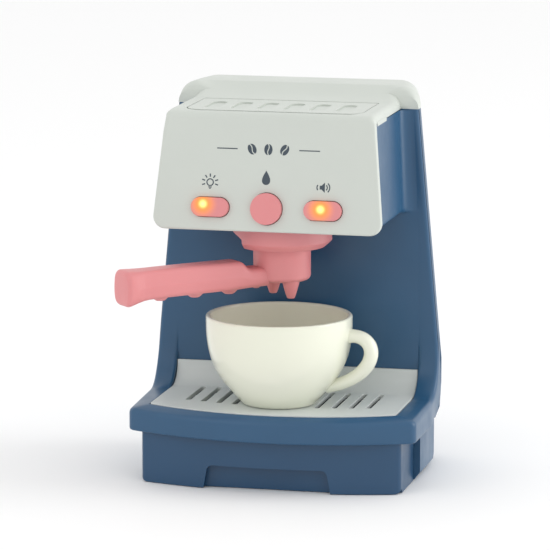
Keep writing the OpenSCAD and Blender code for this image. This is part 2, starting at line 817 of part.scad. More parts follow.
module water_tank() {
    color([0.85, 0.9, 0.92])
    difference() {
        union() {
            span([-tank_w / 2, tank_front_y, tank_z], [tank_w / 2, tank_back_y, tank_top_z]);
            translate([pump_x, 0, pump_z]) rod_y(hose_bore, tank_back_y - 1, tank_back_y + spigot_l);
        }
        span([-tank_w / 2 + tank_wall, tank_front_y + tank_wall, tank_z + tank_wall],
            [tank_w / 2 - tank_wall, tank_back_y - tank_wall, tank_top_z + 1]);
        translate([pump_x, 0, pump_z]) rod_y(spigot_bore, tank_back_y - 3, tank_back_y + spigot_l + 1);
    }
}

module fascia_outline(g) {
    b = fascia_w / 2 + g;
    t = fascia_top_w / 2 + g;
    polygon(rounded([[-b, -g], [b, -g], [t, fascia_l + g], [-t, fascia_l + g]],
        [fascia_low_r, fascia_low_r, fascia_top_r, fascia_top_r]));
}

// Cuts a button's outline off above the head's floor
module above_floor() intersection() {
    children();
    translate([-reach / 2, floor_clear]) square([reach, reach]);
}

// Outline of button i: 0 and 2 are the pills, 1 is round
module button_outline(i, g) {
    if (i == 1) circle(r = round_d / 2 + g);
    else union() {
        for (s = [-1, 1]) translate([s * (pill_l - pill_w) / 2, 0]) circle(r = pill_w / 2 + g);
        translate([-(pill_l - pill_w) / 2, -pill_w / 2 - g]) square([pill_l - pill_w, pill_w + 2 * g]);
    }
}

post_r = 2.4;
guide_h = 3.6;
post_x = board_l / 2 - 4;
post_v = 4;
board_post_at = [[-post_x, post_v], [post_x, post_v]];

module fascia() {
    color(white) on_fascia()
    difference() {
        union() {
            translate([0, 0, -fascia_t]) linear_extrude(fascia_t) fascia_outline(0);
            for (p = board_post_at) translate([p[0], button_v + p[1], board_w_out])
                cylinder(r = post_r, h = -board_w_out - fascia_t + 0.5);
            for (i = [0:2]) translate([button_xs[i], button_v, -fascia_t - guide_h])
                linear_extrude(guide_h + 0.4) difference() {
                above_floor() button_outline(i, flange_out + loose + cap_skin);
                button_outline(i, flange_out + loose);
            }
        }
        for (i = [0:2]) translate([button_xs[i], button_v, -fascia_t - 1]) linear_extrude(fascia_t + 2)
            button_outline(i, button_gap);
    }
}

// ---------------------------------------------------------------- buttons and electrics

// A hollow cap with a flange that holds it behind the fascia, and a stem that meets its switch
module button_cap(i) {
    stem_x = stem_xs[i];
    color(pink) on_fascia() translate([button_xs[i], button_v, 0])
    difference() {
        union() {
            translate([0, 0, -fascia_t - 0.5]) linear_extrude(fascia_t + 0.5 + button_out) button_outline(i, 0);
            translate([0, 0, -fascia_t - 0.2 - flange_t]) linear_extrude(flange_t)
                above_floor() button_outline(i, flange_out);
        }
        difference() {
            translate([0, 0, -fascia_t - 2]) linear_extrude(fascia_t + button_out + 2 - cap_skin)
                button_outline(i, -cap_skin);
            translate([stem_x, 0, board_w_out]) cylinder(r = stem_r, h = 30);
        }
    }
    color(pink) on_fascia() translate([button_xs[i] + stem_x, button_v, 0])
        translate([0, 0, board_w_out + switch_h + switch_tip + button_travel + 0.2])
            cylinder(r = stem_r, h = -board_w_out - switch_h - switch_tip - button_travel - 0.2);
}

module light_button() button_cap(0);
module water_button() button_cap(1);
module sound_button() button_cap(2);

// Return spring round a button's stem, from the switch to the underside of the cap
module button_spring(i) {
    stem_x = stem_xs[i];
    color(steel) on_fascia() translate([button_xs[i] + stem_x, button_v, board_w_out + switch_h])
        difference() {
            cylinder(r = stem_r + loose + coil_t, h = button_out - cap_skin - 0.1 - board_w_out - switch_h);
            translate([0, 0, -1]) cylinder(r = stem_r + loose, h = reach / 10);
        }
}

module light_spring() button_spring(0);
module water_spring() button_spring(1);
module sound_spring() button_spring(2);

module button_board() {
    color([0.1, 0.35, 0.2]) on_fascia() translate([-board_l / 2, board_v, board_w_out - board_t])
        cube([board_l, board_h, board_t]);
}

module tact_switches() {
    color(dark) on_fascia()
    for (i = [0:2]) translate([button_xs[i] + stem_xs[i], button_v, board_w_out]) {
        translate([-switch_w / 2, -switch_w / 2, 0]) cube([switch_w, switch_w, switch_h]);
        translate([0, 0, switch_h - 0.1]) cylinder(r = switch_tip_r, h = switch_tip + 0.1);
    }
}

module button_leds() {
    color([1, 0.85, 0.6]) on_fascia()
    for (i = [0, 2]) translate([button_xs[i] - led_x, button_v, board_w_out]) {
        cylinder(r = led_r, h = led_h);
        translate([0, 0, led_h]) sphere(r = led_r);
    }
}

module speaker() {
    color(dark) translate([speaker_x, 0, speaker_z]) {
        rod_y(speaker_r, inner_back_y - speaker_d * 0.4, inner_back_y - 0.1);
        rod_y(speaker_r * 0.55, inner_back_y - speaker_d, inner_back_y - speaker_d * 0.4 + 0.1);
    }
}

module inlet_hose() {
    color([0.8, 0.85, 0.85]) translate([pump_x, 0, pump_z]) difference() {
        rod_y(hose_r, tank_back_y + 0.1, pump_y - 0.1);
        rod_y(hose_bore + running, tank_back_y, pump_y);
    }
}

module pump_housing() {
    color(white)
    difference() {
        union() {
            translate([pump_x, 0, pump_z]) {
                rod_y(pump_r, pump_y, pump_y + pump_d);
                rod_y(hose_bore, pump_y - spigot_l, pump_y + 1);
            }
            translate([0, pump_y + pump_d / 2, outlet_z + bend_r + 0.2])
                cylinder(r = hose_bore, h = pump_z - outlet_z - bend_r - 0.2);
        }
        translate([pump_x, 0, pump_z]) {
            rod_y(pump_r - 2, pump_y + 2, pump_y + pump_d - 2);
            rod_y(spigot_bore, pump_y - spigot_l - 1, pump_y + 3);
            rod_y(shaft_r + 0.5, pump_y + 3, pump_y + pump_d + 1);
        }
        translate([0, pump_y + pump_d / 2, outlet_z]) cylinder(r = spigot_bore, h = pump_z - outlet_z);
    }
}

module pump_impeller() {
    color(steel) translate([pump_x, 0, pump_z]) {
        rod_y(hub_r, pump_y + 3, pump_y + pump_d - 3);
        rod_y(shaft_r, pump_y + 3, pump_y + pump_d + shaft_in);
        for (a = [0:60:300]) rotate([0, a, 0])
            span([hub_r - 1, pump_y + 3, -blade_t / 2], [pump_r - 3, pump_y + pump_d - 3, blade_t / 2]);
    }
}

module pump_motor() {
    color(steel) translate([pump_x, 0, pump_z]) difference() {
        rod_y(motor_r, pump_y + pump_d, pump_y + pump_d + motor_l);
        rod_y(shaft_r + running, pump_y + pump_d - 1, pump_y + pump_d + shaft_in + 1);
    }
}

// From the pump's outlet down, forward under the tank, and down into the nozzle
module outlet_hose() {
    y1 = pump_y + pump_d / 2;
    color([0.8, 0.85, 0.85])
    difference() {
        hose_route(hose_r, y1, 0);
        hose_route(hose_bore + running, y1, 1);
    }
}

module hose_route(r, y1, extra) {
    top = outlet_z + bend_r + 2.8;
    low = head_z + 0.2;
    translate([0, y1, outlet_z + bend_r]) cylinder(r = r, h = top - outlet_z - bend_r + extra);
    translate([0, y1 - bend_r, outlet_z + bend_r]) rotate([90, 0, 90])
        rotate([0, 0, -90]) rotate_extrude(angle = 90) translate([bend_r, 0]) circle(r = r);
    translate([0, 0, outlet_z]) rod_y(r, -brew_y + bend_r, y1 - bend_r);
    translate([0, -brew_y + bend_r, outlet_z - bend_r]) rotate([90, 0, 90])
        rotate([0, 0, 90]) rotate_extrude(angle = 90) translate([bend_r, 0]) circle(r = r);
    translate([0, -brew_y, low - extra]) cylinder(r = r, h = outlet_z - bend_r - low + extra);
}

// Shower plate under the head, fed by the outlet hose
module shower_nozzle() {
    color(white) translate([0, -brew_y, 0])
    difference() {
        union() {
            translate([0, 0, head_z - nozzle_h]) cylinder(r = nozzle_r, h = nozzle_h);
            translate([0, 0, head_z - 1]) cylinder(r = hose_bore, h = 3);
        }
        translate([0, 0, head_z - 2.4]) cylinder(r = spigot_bore, h = 8);
        translate([0, 0, head_z - 2.6]) cylinder(r = nozzle_r - 4, h = 1);
        for (a = [0:60:300]) rotate(a) translate([nozzle_r / 2, 0, head_z - nozzle_h - 1])
            cylinder(r = jet_r, h = nozzle_h - 1);
    }
}

// ---------------------------------------------------------------- brewing group

// Ring under the head with an inward ledge; two notches let the portafilter's lugs in,
// and the skirt is cut away on the left
module brew_collar() {
    ledge_top = collar_z + collar_ledge_h;
    notch = 2 * collar_bore_r * sin(notch_a / 2);
    color(pink) translate([0, -brew_y, 0])
    difference() {
        rotate_extrude() polygon([[ledge_r, collar_z], [collar_r - 4, collar_z],
            [collar_r - 1.2, collar_z + collar_soft],
            [collar_r, collar_z + collar_h / 4], [collar_r, head_z], [collar_bore_r, head_z],
            [collar_bore_r, ledge_top], [ledge_r, ledge_top]]);
        along(-reach, reach) polygon(concat(
            [[-reach, 0], [-collar_cut_x, 0]],
            [for (a = [90:-15:0]) [-collar_cut_x - cut_w * (1 - sin(a)), cut_top_z - cut_w * (1 - cos(a))]],
            [[-reach, cut_top_z]]));
        rotate(180 + handle_yaw - handle_back) span([ledge_r - 2, -notch / 2, collar_z - 1],
            [collar_bore_r, notch / 2, ledge_top + 0.1]);
    }
}

module portafilter_bowl() {
    color(pink) translate([0, -brew_y, 0]) rotate(180 + handle_yaw)
    difference() {
        union() {
            rotate_extrude() polygon(concat([[0, bowl_z]],
                [for (a = [0:15:90]) [bowl_r - bowl_soft * (1 - sin(a)), bowl_z + bowl_soft * (1 - cos(a))]],
                [[bowl_r, lug_z + lug_h], [0, lug_z + lug_h]]));
            for (a = [0, 180]) rotate(a - lug_a / 2) translate([0, 0, lug_z]) rotate_extrude(angle = lug_a)
                translate([bowl_r - 1, 0]) square([collar_bore_r - loose - bowl_r + 1, lug_h]);
            for (s = [-1, 1]) translate([0, s * spout_gap / 2, bowl_z - spout_l])
                cylinder(r1 = spout_tip_r, r2 = spout_r, h = spout_l + 1.5);
        }
        translate([0, 0, bowl_z + bowl_soft]) cylinder(r = bowl_r - bowl_wall, h = reach);
        for (s = [-1, 1]) translate([0, s * spout_gap / 2, bowl_z - spout_l - 1])
            cylinder(r = spout_bore, h = reach / 10);
        translate([bowl_r - 1, -tenon_w / 2 - 0.2, handle_z - tenon_w / 2 - 0.2])
            cube([4, tenon_w + 0.4, tenon_w + 0.4]);
    }
}

module portafilter_handle() {
    top = handle_z + handle_h / 2;
    low = handle_z - handle_h / 2;
    color(pink) translate([0, -brew_y, 0]) rotate(180 + handle_yaw)
    difference() {
        union() {
            hull() {
                span([bowl_r - 2, -6, low + 1], [bowl_r, 6, top - 5]);
                handle_slice(bowl_r + 3, handle_w - 2, low + 0.5, top - 4.5, 3);
            }
            hull() {
                handle_slice(bowl_r + 3, handle_w - 2, low + 0.5, top - 4.5, 3);
                handle_slice(bowl_r + 13, handle_w, low, top, 5);
                handle_slice(handle_l - 14, handle_w, low, top - 0.6, 5);
            }
            hull() {
                handle_slice(handle_l - 14, handle_w, low, top - 0.6, 5);
                handle_slice(handle_l - 2, grip_end, low - grip_drop, top, 6);
                handle_slice(handle_l - 0.5, grip_end - 3, low - grip_drop + 1.4, top - 1.5, 5);
            }
            for (i = [0:bumps - 1]) translate([handle_l - bump_end - i * bump_pitch, 0, low + 2.4])
                rotate([90, 0, 0]) translate([0, 0, -bump_r + 1]) cylinder(r = bump_r, h = 2 * bump_r - 2);
        }
        translate([0, 0, low - 10]) cylinder(r = bowl_r + 0.02, h = 40);
    }
    color(pink) translate([0, -brew_y, 0]) rotate(180 + handle_yaw)
        span([bowl_r - 0.9, -tenon_w / 2, handle_z - tenon_w / 2],
            [bowl_r + 4, tenon_w / 2, handle_z + tenon_w / 2]);
}

// A thin upright slice of the handle at distance x from the axis
module handle_slice(x, w, z0, z1, r) translate([x, 0, 0]) rotate([90, 0, 90]) linear_extrude(0.5)
    polygon(rounded([[-w / 2, z0], [w / 2, z0], [w / 2, z1], [-w / 2, z1]], [r, r, r, r], 4));

// ---------------------------------------------------------------- tray, drawer and cup

module tray_insert() {
    back = tray_back_y;
    color(grey)
    difference() {
        intersection() {
            across(tray_w)
                polygon(concat(
                    [[-reach, seat_z], [-reach, tray_z], [back - tray_t - tray_curve, tray_z]],
                    [for (i = [1:6]) let (a = 90 * i / 6) [
                        back - tray_t - tray_curve + tray_curve * sin(a),
                        tray_z + tray_curve - tray_curve * cos(a)]],
                    [[back - tray_t, tray_z + tray_rise], [back, tray_z + tray_rise]],
                    [for (i = [6:-1:1]) let (a = 90 * i / 6) [
                        back - tray_t - tray_curve + (tray_curve + tray_t) * sin(a),
                        tray_z + tray_curve - (tray_curve + tray_t) * cos(a)]],
                    [[back - tray_t - tray_curve, seat_z]]));
            linear_extrude(reach) tray_outline(0);
        }
        for (i = [0:slots - 1]) let (x = (i - (slots - 1) / 2) * slot_pitch)
            let (y0 = bow(x, -slot_front, slot_bow_r)) {
                translate([x - slot_w / 2, y0, seat_z - 1]) cube([slot_w, slot_back_y - y0, tray_t + 2]);
                for (y = [y0, slot_back_y])
                    translate([x, y, seat_z - 1]) cylinder(r = slot_w / 2, h = tray_t + 2);
            }
    }
}

module water_drawer() {
    half = drawer_w / 2;
    step = drawer_step_w / 2;
    front = bowed_plan(half, -drawer_reach, tub_front_y - drawer_back_gap, drawer_bow_r, drawer_corner_r, 0);
    color(blue)
    difference() {
        union() {
            translate([0, 0, foot_h * 0.4]) linear_extrude(drawer_top_z - foot_h * 0.4) polygon(front);
            span([-step, 0, drawer_floor_z], [step, drawer_back_y, drawer_top_z]);
        }
        difference() {
            translate([0, 0, drawer_floor_z + floor_t]) linear_extrude(reach)
                polygon(bowed_plan(half - wall, -drawer_reach + wall, tub_front_y - drawer_back_gap - wall,
                    drawer_bow_r, drawer_corner_r - 1, 0));
            span([-grip_w / 2 - grip_slant - wall, -reach, 0],
                [grip_w / 2 + grip_slant + wall, -drawer_reach + grip_d + wall, grip_h + wall]);
        }
        span([-step + wall, -5, drawer_floor_z + floor_t], [step - wall, drawer_back_y - wall, reach]);
        span([-tongue_w / 2 - 0.6, -tongue_front - 1, 0], [tongue_w / 2 + 0.6, reach, drawer_floor_z]);
        along(-drawer_reach - 5, -drawer_reach + grip_d)
            polygon(rounded([[-grip_w / 2 - grip_slant, -5], [grip_w / 2 + grip_slant, -5],
                [grip_w / 2, grip_h], [-grip_w / 2, grip_h]], [0, 0, grip_corner_r, grip_corner_r]));
    }
}

// The cup's outer radius at height t, from 0 at the foot to 1 at the rim
function cup_outer(t) = cup_foot_r + (cup_r - cup_foot_r) * pow(1 - pow(1 - t, 3), 1.32);

module toy_cup() {
    n = 14;
    outer = [for (i = [0:n]) let (t = i / n) [cup_outer(t), cup_h * t]];
    inner = [for (i = [1:n]) let (t = i / n) [
        cup_outer(t) - cup_wall * (1.25 - 0.35 * t), cup_wall + (cup_h - cup_wall) * t]];
    mouth = inner[n - 1][0];
    color(cream) translate([0, -cup_y, tray_z + 2 * eps])
    difference() {
        union() {
            rotate_extrude() polygon(concat(
                [[0, 1], [cup_foot_r - 4, 1], [cup_foot_r - 3, 0]], outer, [[0, cup_h]]));
            cup_handle();
        }
        rotate_extrude() polygon(concat([[0, cup_wall]], inner, [[mouth, cup_h + 1], [0, cup_h + 1]]));
    }
}

// A point of the cubic curve through a and d, drawn towards b and c
function curve(a, b, c, d, t) =
    pow(1 - t, 3) * a + 3 * t * pow(1 - t, 2) * b + 3 * t * t * (1 - t) * c + t * t * t * d;

// The ear: an oval section carried down one curve in the plane y = 0
module cup_handle() {
    rings = 14;
    sides = 10;
    out = cup_r + cup_handle_out;
    path = [for (k = [0:rings])
        curve([cup_r - 3, cup_h * 0.78], [out + 0.8, cup_h * 0.86], [out + 3.3, cup_h * 0.34],
            [cup_outer(0.2) - 2, cup_h * 0.2], k / rings)];
    points = [for (k = [0:rings])
        let (d = unit(path[min(k + 1, rings)] - path[max(k - 1, 0)]), across = [d[1], -d[0]])
        for (s = [0:sides - 1]) let (b = 360 * s / sides)
            [path[k][0] + across[0] * ear_t * cos(b), ear_w * sin(b), path[k][1] + across[1] * ear_t * cos(b)]];
    faces = concat(
        [[for (s = [0:sides - 1]) s]],
        [for (k = [0:rings - 1], s = [0:sides - 1])
            [k * sides + s, (k + 1) * sides + s, (k + 1) * sides + (s + 1) % sides,
                k * sides + (s + 1) % sides]],
        [[for (s = [sides - 1:-1:0]) rings * sides + s]]);
    polyhedron(points, faces, convexity = 4);
}

// ---------------------------------------------------------------- batteries

module battery_box() {
    color(dark)
    difference() {
        span([-box_w / 2, box_front_y, box_z], [box_w / 2, box_back_y, box_z + box_h]);
        span([-box_w / 2 + box_wall, box_front_y + box_wall, box_z + box_wall],
            [box_w / 2 - box_wall, box_back_y + 1, box_z + box_h - box_wall]);
    }
}

module batteries() {
    color([0.75, 0.55, 0.3])
    for (k = [0:cells - 1])
        translate([0, box_front_y + box_wall + cell_d / 2 + 0.1, box_z + box_wall + (k + 0.5) * cell_pitch])
            rotate([0, k % 2 == 0 ? 90 : -90, 0]) {
                translate([0, 0, -cell_l / 2]) cylinder(r = cell_d / 2, h = cell_l - nub_h);
                translate([0, 0, cell_l / 2 - nub_h - 0.1]) cylinder(r = nub_r, h = nub_h + 0.1);
            }
}

module battery_contacts() {
    color(steel)
    for (s = [-1, 1], k = [0:cells - 1]) {
        z = box_z + box_wall + (k + 0.5) * cell_pitch;
        y = box_front_y + box_wall + cell_d / 2;
        span([min(s * (box_w / 2 - box_wall), s * (cell_l / 2 + 0.1)), y - contact_w / 2, z - contact_w / 2],
            [max(s * (box_w / 2 - box_wall), s * (cell_l / 2 + 0.1)), y + contact_w / 2, z + contact_w / 2]);
    }
}

module battery_door() {
    color(blue)
    difference() {
        union() {
            span([-door_w / 2, back_y - door_t, door_z], [door_w / 2, back_y, door_z + door_h]);
            translate([0, 0, tab_z]) rod_y(tab_r, back_y - tab_t, back_y);
            span([-tab_w / 2, back_y - tab_t, door_z + door_h - 1], [tab_w / 2, back_y, tab_z]);
        }
        translate([0, 0, tab_z]) {
            rod_y(screw_r + running, back_y - tab_t - 1, back_y + 1);
            rod_y(screw_r * 2 + loose, back_y - head_t - head_sink, back_y + 1);
        }
        for (k = [0:4]) span([-12, back_y - 0.6, door_z + 6 + 3 * k], [12, back_y + 1, door_z + 7.4 + 3 * k]);
    }
}

module door_screw() {
    color(steel) translate([0, back_y - head_t - head_sink, tab_z]) rotate([90, 0, 0]) screw(5);
}

front_shell();
rear_shell();
base_tub();
rubber_feet();
case_screws();
base_screws();
top_cover();
tank_lid();
tank_seal();
water_tank();
fascia();
light_button();
water_button();
sound_button();
light_spring();
water_spring();
sound_spring();
button_board();
tact_switches();
button_leds();
speaker();
inlet_hose();
pump_housing();
pump_impeller();
pump_motor();
outlet_hose();
shower_nozzle();
brew_collar();
portafilter_bowl();
portafilter_handle();
tray_insert();
water_drawer();
battery_box();
batteries();
battery_contacts();
battery_door();
door_screw();
toy_cup();
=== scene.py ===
# %% [markdown]
# # A toy coffee maker, dressed in Blender
# The real object is a battery toy: navy blue shells, a white head with pink buttons, a pink
# portafilter, a grey drip tray and a cream cup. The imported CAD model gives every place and
# size. This lesson gives each visible piece its soft moulded form and its finish. Shapes are
# worked out in millimetres, and their meshes are in metres.
#
# %% Load the fixed frame and keep its box
import math

import bmesh
import bpy
import numpy as np
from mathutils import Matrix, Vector


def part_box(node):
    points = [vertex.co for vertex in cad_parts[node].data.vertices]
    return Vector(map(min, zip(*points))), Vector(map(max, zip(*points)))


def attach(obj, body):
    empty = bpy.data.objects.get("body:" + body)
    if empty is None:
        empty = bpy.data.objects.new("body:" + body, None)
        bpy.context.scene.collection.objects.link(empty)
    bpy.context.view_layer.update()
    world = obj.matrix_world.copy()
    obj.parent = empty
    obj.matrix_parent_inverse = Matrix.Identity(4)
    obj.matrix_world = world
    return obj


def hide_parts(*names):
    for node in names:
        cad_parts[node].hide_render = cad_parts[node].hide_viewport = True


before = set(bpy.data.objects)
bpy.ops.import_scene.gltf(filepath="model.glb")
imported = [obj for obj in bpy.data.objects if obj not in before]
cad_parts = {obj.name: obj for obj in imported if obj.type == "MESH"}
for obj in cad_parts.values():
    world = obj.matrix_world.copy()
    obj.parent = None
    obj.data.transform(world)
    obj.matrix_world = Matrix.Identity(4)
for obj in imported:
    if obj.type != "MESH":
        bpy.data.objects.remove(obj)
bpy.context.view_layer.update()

MM = 0.001

# %% [markdown]
# ## The camera
# The photograph was taken from 13.3 degrees to the right and 9.9 degrees above, with a long
# lens that hardly narrows the far side. A place chosen by eye would do for a sketch. Here it
# was fitted to the object's own edges, 2.36 m away, so that every line can be compared.
#
# %% Camera
AIM = Vector((-13.67, 36.0, 112.43)) * MM
DISTANCE = 2.3589
AZIMUTH, ELEVATION = math.radians(13.32), math.radians(9.9)
LENS, SENSOR = 261.8, 36.0
NEAREST, FARTHEST = 0.05, 50.0


def link(thing):
    """Puts an object into the scene."""
    bpy.context.scene.collection.objects.link(thing)


def look_along(thing, direction):
    """Turns a camera or a lamp so that it looks along a direction."""
    thing.rotation_mode = "QUATERNION"
    thing.rotation_quaternion = direction.to_track_quat("-Z", "Y")


camera = bpy.data.objects.new("photo_camera", bpy.data.cameras.new("photo_camera"))
camera.data.lens = LENS
camera.data.sensor_width = SENSOR
camera.data.clip_start, camera.data.clip_end = NEAREST, FARTHEST
towards_camera = Vector((
    math.sin(AZIMUTH) * math.cos(ELEVATION),
    -math.cos(AZIMUTH) * math.cos(ELEVATION),
    math.sin(ELEVATION)))
camera.location = AIM + towards_camera * DISTANCE
look_along(camera, -towards_camera)
link(camera)
bpy.context.scene.camera = camera
print("camera at", [round(v, 3) for v in camera.location])

# %% [markdown]
# ## Floor and light
# A plain pale floor and three soft panels: a broad one from the front left, a stronger one
# from the right, which brightens the sides as in the photograph, and one overhead. The
# Standard view keeps the plastic's colours as they are mixed, where a filmic curve would
# grey the pink and the white.
#
# %% Floor
FLOOR_HALF, FLOOR_COLOUR, FLOOR_ROUGH = 6.0, (0.95, 0.95, 0.95, 1), 0.8


def set_inputs(node, values):
    """Gives a node's sockets their constants, from a dictionary of names and values."""
    for socket, value in values.items():
        node.inputs[socket].default_value = value


def new_material(name):
    """A new material, its node tree and its Principled shader."""
    material = bpy.data.materials.new(name)
    material.use_nodes = True
    print("mixed", name)
    return material, material.node_tree, material.node_tree.nodes["Principled BSDF"]


pale, _, pale_shader = new_material("pale_floor")
set_inputs(pale_shader, {"Base Color": FLOOR_COLOUR, "Roughness": FLOOR_ROUGH})
floor_mesh = bpy.data.meshes.new("floor")
floor_mesh.from_pydata(
    [(x * FLOOR_HALF, y * FLOOR_HALF, 0) for x, y in ((-1, -1), (1, -1), (1, 1), (-1, 1))],
    [], [(0, 1, 2, 3)])
floor_mesh.materials.append(pale)
floor = bpy.data.objects.new("floor", floor_mesh)
link(floor)

# %% Light


def soft_panel(name, place, size, power):
    """An area light of size metres and power watts at place, turned to face the object."""
    lamp = bpy.data.lights.new(name, "AREA")
    lamp.shape = "RECTANGLE"
    lamp.size, lamp.size_y = size
    lamp.energy = power
    panel = bpy.data.objects.new(name, lamp)
    panel.location = place
    look_along(panel, AIM - Vector(place))
    link(panel)
    print(name, "shines with", power, "W")


soft_panel("front_left_panel", place=(-1.1, -1.7, 1.2), size=(1.6, 1.2), power=2.0)
soft_panel("right_panel", place=(1.7, 0.35, 0.7), size=(1.0, 1.4), power=12)
soft_panel("overhead_panel", place=(0.0, 0.1, 1.9), size=(1.4, 1.4), power=0.4)

world = bpy.data.worlds.new("pale_room")
world.use_nodes = True
set_inputs(world.node_tree.nodes["Background"], {"Color": (1, 1, 1, 1), "Strength": 1.0})
bpy.context.scene.world = world
bpy.context.scene.view_settings.view_transform = "Standard"

# %% [markdown]
# ## A shared effect: moulded plastic skin
# Injection moulded plastic isn't one flat colour: it has a very fine spark-eroded grain,
# faint clouds of tone, and patches that are rubbed a little smoother. One node group makes
# all three from Object coordinates, so every material can use it with its own strength.
#
# %% Node group moulded_skin
COLOUR, NUMBER, VECTOR = "NodeSocketColor", "NodeSocketFloat", "NodeSocketVector"
CLOUD_SCALE, RUB_SCALE, GRAIN_SCALE = 22.0, 60.0, 2600.0
GRAIN_HEIGHT = 0.00003


def new_group(name, inputs, outputs):
    """An empty shader node group with named sockets, the inputs given as (type, default)."""
    group = bpy.data.node_groups.new(name, "ShaderNodeTree")
    for label, (kind, default) in inputs.items():
        socket = group.interface.new_socket(label, in_out="INPUT", socket_type=kind)
        socket.default_value = default
    for label, kind in outputs.items():
        group.interface.new_socket(label, in_out="OUTPUT", socket_type=kind)
    return group, group.nodes.new("NodeGroupInput"), group.nodes.new("NodeGroupOutput")


def noise(group, coordinates, scale, detail):
    """A noise texture on the given coordinates."""
    node = group.nodes.new("ShaderNodeTexNoise")
    set_inputs(node, {"Scale": scale, "Detail": detail})
    group.links.new(coordinates, node.inputs["Vector"])
    return node.outputs["Fac"]


def spread(group, value, low, high):
    """Stretches the middle of a noise, from 0.3 to 0.7, over low to high."""
    node = group.nodes.new("ShaderNodeMapRange")
    set_inputs(node, {"From Min": 0.3, "From Max": 0.7})
    group.links.new(value, node.inputs["Value"])
    for socket, end in (("To Min", low), ("To Max", high)):
        if isinstance(end, float):
            node.inputs[socket].default_value = end
        else:
            group.links.new(end, node.inputs[socket])
    return node.outputs["Result"]


skin, skin_in, skin_out = new_group(
    "moulded_skin",
    {"Colour": (COLOUR, (0.5, 0.5, 0.5, 1)), "Cloud Colour": (COLOUR, (0.45, 0.45, 0.45, 1)),
     "Smooth": (NUMBER, 0.3), "Rough": (NUMBER, 0.42), "Grain": (NUMBER, 0.1)},
    {"Colour": COLOUR, "Roughness": NUMBER, "Normal": VECTOR})
on_piece = skin.nodes.new("ShaderNodeTexCoord").outputs["Object"]
tone = skin.nodes.new("ShaderNodeMix")
tone.data_type = "RGBA"
clouds = spread(skin, noise(skin, on_piece, CLOUD_SCALE, 3.0), 0.0, 1.0)
skin.links.new(clouds, tone.inputs["Factor"])
skin.links.new(skin_in.outputs["Colour"], tone.inputs["A"])
skin.links.new(skin_in.outputs["Cloud Colour"], tone.inputs["B"])
skin.links.new(tone.outputs["Result"], skin_out.inputs["Colour"])
rubbed = spread(skin, noise(skin, on_piece, RUB_SCALE, 4.0),
                skin_in.outputs["Smooth"], skin_in.outputs["Rough"])
skin.links.new(rubbed, skin_out.inputs["Roughness"])
grain = skin.nodes.new("ShaderNodeBump")
grain.inputs["Distance"].default_value = GRAIN_HEIGHT
skin.links.new(skin_in.outputs["Grain"], grain.inputs["Strength"])
skin.links.new(noise(skin, on_piece, GRAIN_SCALE, 2.0), grain.inputs["Height"])
skin.links.new(grain.outputs["Normal"], skin_out.inputs["Normal"])
print("moulded_skin has", len(skin.nodes), "nodes")

# %% [markdown]
# ## The finishes
# All plastics share the skin and differ in colour and gloss: the shells are satin, the cup
# is glossy, the feet are dull rubber. Each could have a shader of its own, but one function
# keeps them alike. Metal, glassy tank and lens are the same skin with other constants.
#
# %% Plastic materials
PLASTIC_IOR, COAT_ROUGH = 1.5, 0.18
LIGHT_DEPTH, LIGHT_REACH = 0.002, (1.0, 0.5, 0.4)
PINK, PINK_CLOUD = (0.73, 0.265, 0.272), (0.71, 0.25, 0.257)
PINK_GLOSS = (0.36, 0.48)


def plastic(name, colour, clouds, smooth, rough, grain_strength=0.15, coat=0.0, light_through=0.0):
    """A moulded plastic: the shared skin feeds colour, roughness and normal."""
    material, tree, shader = new_material(name)
    set_inputs(shader, {"IOR": PLASTIC_IOR, "Coat Weight": coat, "Coat Roughness": COAT_ROUGH})
    if light_through:
        set_inputs(shader, {"Subsurface Weight": light_through, "Subsurface Scale": LIGHT_DEPTH,
                            "Subsurface Radius": LIGHT_REACH})
    group = tree.nodes.new("ShaderNodeGroup")
    group.node_tree = skin
    set_inputs(group, {"Colour": (*colour, 1), "Cloud Colour": (*clouds, 1),
                       "Smooth": smooth, "Rough": rough, "Grain": grain_strength})
    for effect, socket in (("Colour", "Base Color"), ("Roughness", "Roughness"), ("Normal", "Normal")):
        tree.links.new(group.outputs[effect], shader.inputs[socket])
    return material


navy = plastic("navy_plastic", (0.0225, 0.089, 0.184), (0.021, 0.083, 0.172), 0.28, 0.38)
# The drawer's navy is the shells' navy made darker: painted shade for the drawer, which sits low under the
# lip's overhang.
painted_shade_navy = plastic("drawer_navy_painted_shade", (0.0165, 0.067, 0.146), (0.015, 0.062, 0.136), 0.28, 0.38)
white = plastic("white_plastic", (0.592, 0.625, 0.58), (0.575, 0.608, 0.564), 0.38, 0.5)
pink = plastic("pink_plastic", PINK, PINK_CLOUD, *PINK_GLOSS, light_through=0.08)
grey = plastic("grey_plastic", (0.62, 0.655, 0.645), (0.60, 0.635, 0.625), 0.42, 0.55)
cream = plastic("cream_plastic", (0.82, 0.83, 0.70), (0.805, 0.815, 0.685), 0.14, 0.22, 0.04, coat=0.3)
black = plastic("black_plastic", (0.012, 0.012, 0.014), (0.017, 0.017, 0.018), 0.4, 0.55)
rubber = plastic("black_rubber", (0.010, 0.010, 0.010), (0.016, 0.016, 0.016), 0.65, 0.85, 0.5)

# %% Metal, clear and other finishes
CLOUD_SHADE = 0.92


def finish_with(name, colour, smooth, rough, grain_strength=0.1, **constants):
    """The plastic skin with other constants, such as a metal's or a clear plastic's."""
    shade = tuple(CLOUD_SHADE * part for part in colour)
    material = plastic(name, colour, shade, smooth, rough, grain_strength)
    set_inputs(material.node_tree.nodes["Principled BSDF"],
               {socket.replace("_", " "): value for socket, value in constants.items()})
    return material


